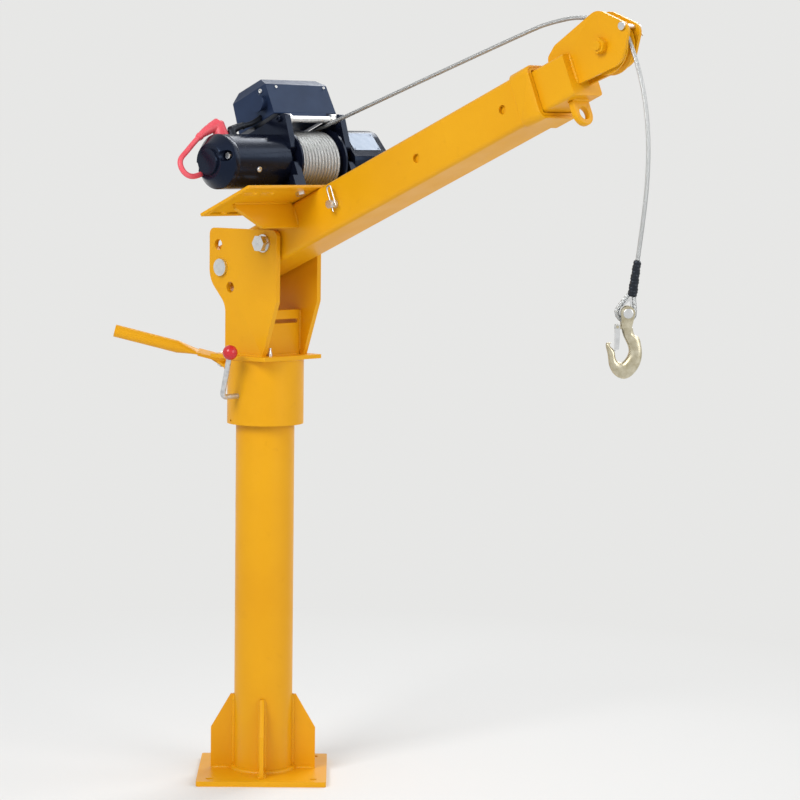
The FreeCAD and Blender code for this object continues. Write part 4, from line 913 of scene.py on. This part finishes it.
def socket_screw(radius, height):
    """Cap screw with a chamfered head and a recess, at the origin, facing +Z."""
    clear_selection()
    bpy.ops.mesh.primitive_cylinder_add(vertices=24, radius=radius, depth=height,
                                        location=(0, 0, height / 2))
    piece = bpy.context.object
    settle(piece, GROUND)
    choose_faces(piece, lambda face: face.normal.z > 0.9)
    bpy.ops.mesh.bevel(offset=SCREW_CHAMFER * radius, segments=2, affect="EDGES")
    bpy.ops.object.mode_set(mode="OBJECT")
    choose_faces(piece, lambda face: face.normal.z > 0.99 and face.center.z > 0.99 * height)
    bpy.ops.mesh.inset(thickness=SCREW_RIM * radius)
    bpy.ops.mesh.extrude_region_move(TRANSFORM_OT_translate={"value": (0, 0, -SCREW_RECESS * height)})
    finish_modelling(piece, 35)
    return piece


def screw_set(name, places, head, finishes, slot, body):
    """Copies of one screw at (place, direction) points."""
    first = socket_screw(*head)
    screws = []
    for point, direction in places:
        twin = duplicate(first)
        settle(twin, Matrix.Translation(point) @ direction.to_track_quat("Z", "Y").to_matrix().to_4x4())
        screws.append(twin)
    bpy.data.objects.remove(first)
    finish_piece(join(screws, name), finishes, slot, body)


def rounded_disc(radius, height, bevel, wanted):
    """Short cylinder along Z, with the edges of the wanted faces rounded."""
    clear_selection()
    bpy.ops.mesh.primitive_cylinder_add(vertices=32, radius=radius, depth=height)
    piece = bpy.context.object
    choose_faces(piece, wanted)
    bpy.ops.mesh.bevel(offset=bevel, segments=3, affect="EDGES")
    finish_modelling(piece, 35)
    return piece


def tie_collars(finishes):
    """Shouldered ends of the tie bars, against the drum supports."""
    first = rounded_disc(TIE_COLLAR_R, TIE_COLLAR_L, TIE_COLLAR_BEVEL,
                         lambda face: abs(face.normal.z) > 0.9)
    collars = []
    for side in (-1, 1):
        for ds in (-TIE_DS, TIE_DS):
            twin = duplicate(first)
            place = Matrix.Translation((WINCH_S + ds, side * (SUPPORT_IN - TIE_COLLAR_L / 2), TIE_T))
            settle(twin, BOOM @ place @ Matrix.Rotation(math.pi / 2, 4, "X"))
            collars.append(twin)
    bpy.data.objects.remove(first)
    finish_piece(join(collars, "tie_collars"), finishes, "zinc", "boom")


def clevis_pin(finishes):
    """Bright head of the hook's clevis pin, on the near ear."""
    head = rounded_disc(PIN_HEAD_R, PIN_HEAD_H, PIN_HEAD_BEVEL, lambda face: face.normal.z > 0.9)
    head.name = "clevis_pin_head"
    settle(head, Matrix.Translation(HOOK_AT + Vector((0, -EAR_OUT - PIN_HEAD_H / 2, 0)))
           @ Matrix.Rotation(math.pi / 2, 4, "X"))
    finish_piece(head, finishes, "bright_steel", "hook_body")


def winch_screws(finishes):
    """Screws of the motor, the tie bars, the control box and the bare plate."""
    across = BOOM.to_3x3() @ Vector((0, 1, 0))
    ends = []
    for side in (-1, 1):
        for ds in (-TIE_DS, TIE_DS):
            ends.append((boom_at(WINCH_S + ds, side * SUPPORT_OUT, TIE_T), across * side))
    screw_set("tie_screws", ends, TIE_SCREW, finishes, "winch_black", "boom")
    out = Vector((math.sin(MOTOR_SCREW_LEAN), 0, math.cos(MOTOR_SCREW_LEAN)))
    spot = Vector((WINCH_S, MOTOR_SCREW_V, WINCH_T)) + out * (MOTOR_R - MOTOR_SCREW_SINK)
    screw_set("motor_screw", [(BOOM @ spot, BOOM.to_3x3() @ out)], MOTOR_SCREW, finishes, "zinc", "boom")
    corners = []
    for side in (-1, 1):
        corner = boom_at(BOX_S1 - BOX_SCREW_BACK, side * (BOX_HALF - BOX_SCREW_SINK), BOX_T0 + BOX_SCREW_UP)
        corners.append((corner, across * side))
    screw_set("box_screws", corners, BOX_SCREW, finishes, "zinc", "boom")
    ahead = BOOM.to_3x3() @ Vector((1, 0, 0))
    front = []
    for v in FRONT_SCREW_V:
        front.append((boom_at(BOX_S1 - FRONT_SCREW_SINK, v, BOX_T0 + FRONT_SCREW_UP), ahead))
    screw_set("box_front_screws", front, FRONT_SCREW, finishes, "zinc", "boom")
    rivets = []
    face = Matrix.Translation((WINCH_S, 0, WINCH_T)) @ Matrix.Rotation(GEAR_FLAT_TILT, 4, "Y")
    normal = BOOM.to_3x3() @ (face.to_3x3() @ Vector((0, 0, 1)))
    for ds in RIVET_DS:
        for v in RIVET_V:
            rivets.append((BOOM @ (face @ Vector((ds, v, GEAR_FLAT + TAG_T - RIVET_SINK))), normal))
    screw_set("plate_rivets", rivets, RIVET, finishes, "plate_silver", "boom")


def shown_rays(tree):
    """One for the rays that see the surroundings, straight or in a reflection."""
    ray = tree.nodes.new("ShaderNodeLightPath")
    either = ray.outputs["Is Camera Ray"]
    for kind in ("Is Glossy Ray", "Is Transmission Ray"):
        larger = tree.nodes.new("ShaderNodeMath")
        larger.operation = "MAXIMUM"
        tree.links.new(either, larger.inputs[0])
        tree.links.new(ray.outputs[kind], larger.inputs[1])
        either = larger.outputs[0]
    return either


def fade_floor(tree, shader, at):
    """Lets the floor run out into the background away from the crane."""
    away = tree.nodes.new("ShaderNodeVectorMath")
    away.operation = "LENGTH"
    tree.links.new(at, away.inputs[0])
    share = spread(tree, away.outputs["Value"], 0.0, 1.0, *FLOOR_FADE)
    both = tree.nodes.new("ShaderNodeMath")
    both.operation = "MULTIPLY"
    tree.links.new(share, both.inputs[0])
    tree.links.new(shown_rays(tree), both.inputs[1])
    glow = tree.nodes.new("ShaderNodeEmission")
    glow.inputs["Color"].default_value = (*BACKGROUND, 1)
    joined = tree.nodes.new("ShaderNodeMixShader")
    tree.links.new(both.outputs[0], joined.inputs["Fac"])
    tree.links.new(shader.outputs[0], joined.inputs[1])
    tree.links.new(glow.outputs[0], joined.inputs[2])
    tree.links.new(joined.outputs[0], tree.nodes["Material Output"].inputs["Surface"])


def studio_floor():
    """Pale floor that fades into the background."""
    clear_selection()
    bpy.ops.mesh.primitive_plane_add(size=FLOOR_SIZE, location=(0, 0, 0))
    floor = bpy.context.object
    floor.name = "studio_floor"
    made, tree, shader, at = material("studio_paper")
    colour = ramp(tree, noise(tree, at, 0.6, 2), [(0.3, (0.80, 0.80, 0.79)), (0.7, (0.83, 0.83, 0.82))])
    tree.links.new(colour, shader.inputs["Base Color"])
    shader.inputs["Roughness"].default_value = 0.8
    fade_floor(tree, shader, at)
    floor.data.materials.append(made)


def studio_world():
    """Pale surroundings that light the crane less than they show."""
    world = bpy.data.worlds.new("studio_world")
    bpy.context.scene.world = world
    world.use_nodes = True
    sky = world.node_tree
    lit = sky.nodes["Background"]
    lit.inputs["Color"].default_value = (*SKY_COLOUR, 1)
    lit.inputs["Strength"].default_value = SKY_STRENGTH
    seen = sky.nodes.new("ShaderNodeBackground")
    seen.inputs["Color"].default_value = (*BACKGROUND, 1)
    shown = sky.nodes.new("ShaderNodeMixShader")
    sky.links.new(shown_rays(sky), shown.inputs["Fac"])
    sky.links.new(lit.outputs[0], shown.inputs[1])
    sky.links.new(seen.outputs[0], shown.inputs[2])
    sky.links.new(shown.outputs[0], sky.nodes["World Output"].inputs["Surface"])


def studio_lamps():
    """Soft area lamps, all aimed at one point of the crane."""
    for name, place, size, power in LAMPS:
        lamp = bpy.data.lights.new(name, "AREA")
        lamp.size = size
        lamp.energy = power
        holder = bpy.data.objects.new(name, lamp)
        bpy.context.scene.collection.objects.link(holder)
        holder.location = place
        holder.rotation_euler = (LAMP_AIM - Vector(place)).to_track_quat("-Z", "Y").to_euler()


def photo_camera():
    """Camera of the photograph, with plain colours."""
    lens = bpy.data.cameras.new("photo_camera")
    lens.sensor_width = CAMERA_SENSOR
    lens.lens = CAMERA_LENS
    camera = bpy.data.objects.new("photo_camera", lens)
    bpy.context.scene.collection.objects.link(camera)
    camera.matrix_world = (Matrix.Translation(CAMERA_AT) @ Matrix.Rotation(-CAMERA_YAW, 4, "Z")
                           @ Matrix.Rotation(math.pi / 2 + CAMERA_PITCH, 4, "X")
                           @ Matrix.Rotation(CAMERA_ROLL, 4, "Z"))
    bpy.context.scene.camera = camera
    bpy.context.scene.view_settings.view_transform = "Standard"


clear_selection()
finishes = make_finishes()
dress_nodes(finishes)
ease_edges()
studio_floor()
studio_world()
studio_lamps()
photo_camera()
rope_on_drum(finishes)
rope_to_head(finishes)
loop = rope_loop(finishes)
sleeve = shrink_sleeve(finishes)
rope_from_head(finishes)
red_line = motor_lead("red", RED_ROUTE, finishes, "lead_red", "red_lead")
rubber_boot("red_boot", RED_POST, RED_BOOT, red_line, finishes, "lead_red")
black_line = motor_lead("black", BLACK_ROUTE, finishes, "sleeve_black", "black_lead")
rubber_boot("black_boot", BLACK_POST, BLACK_BOOT, black_line, finishes, "sleeve_black")
foot_welds(finishes)
mast_welds(finishes)
boom_welds(finishes)
head_welds(finishes)
tie_collars(finishes)
winch_screws(finishes)
clevis_pin(finishes)
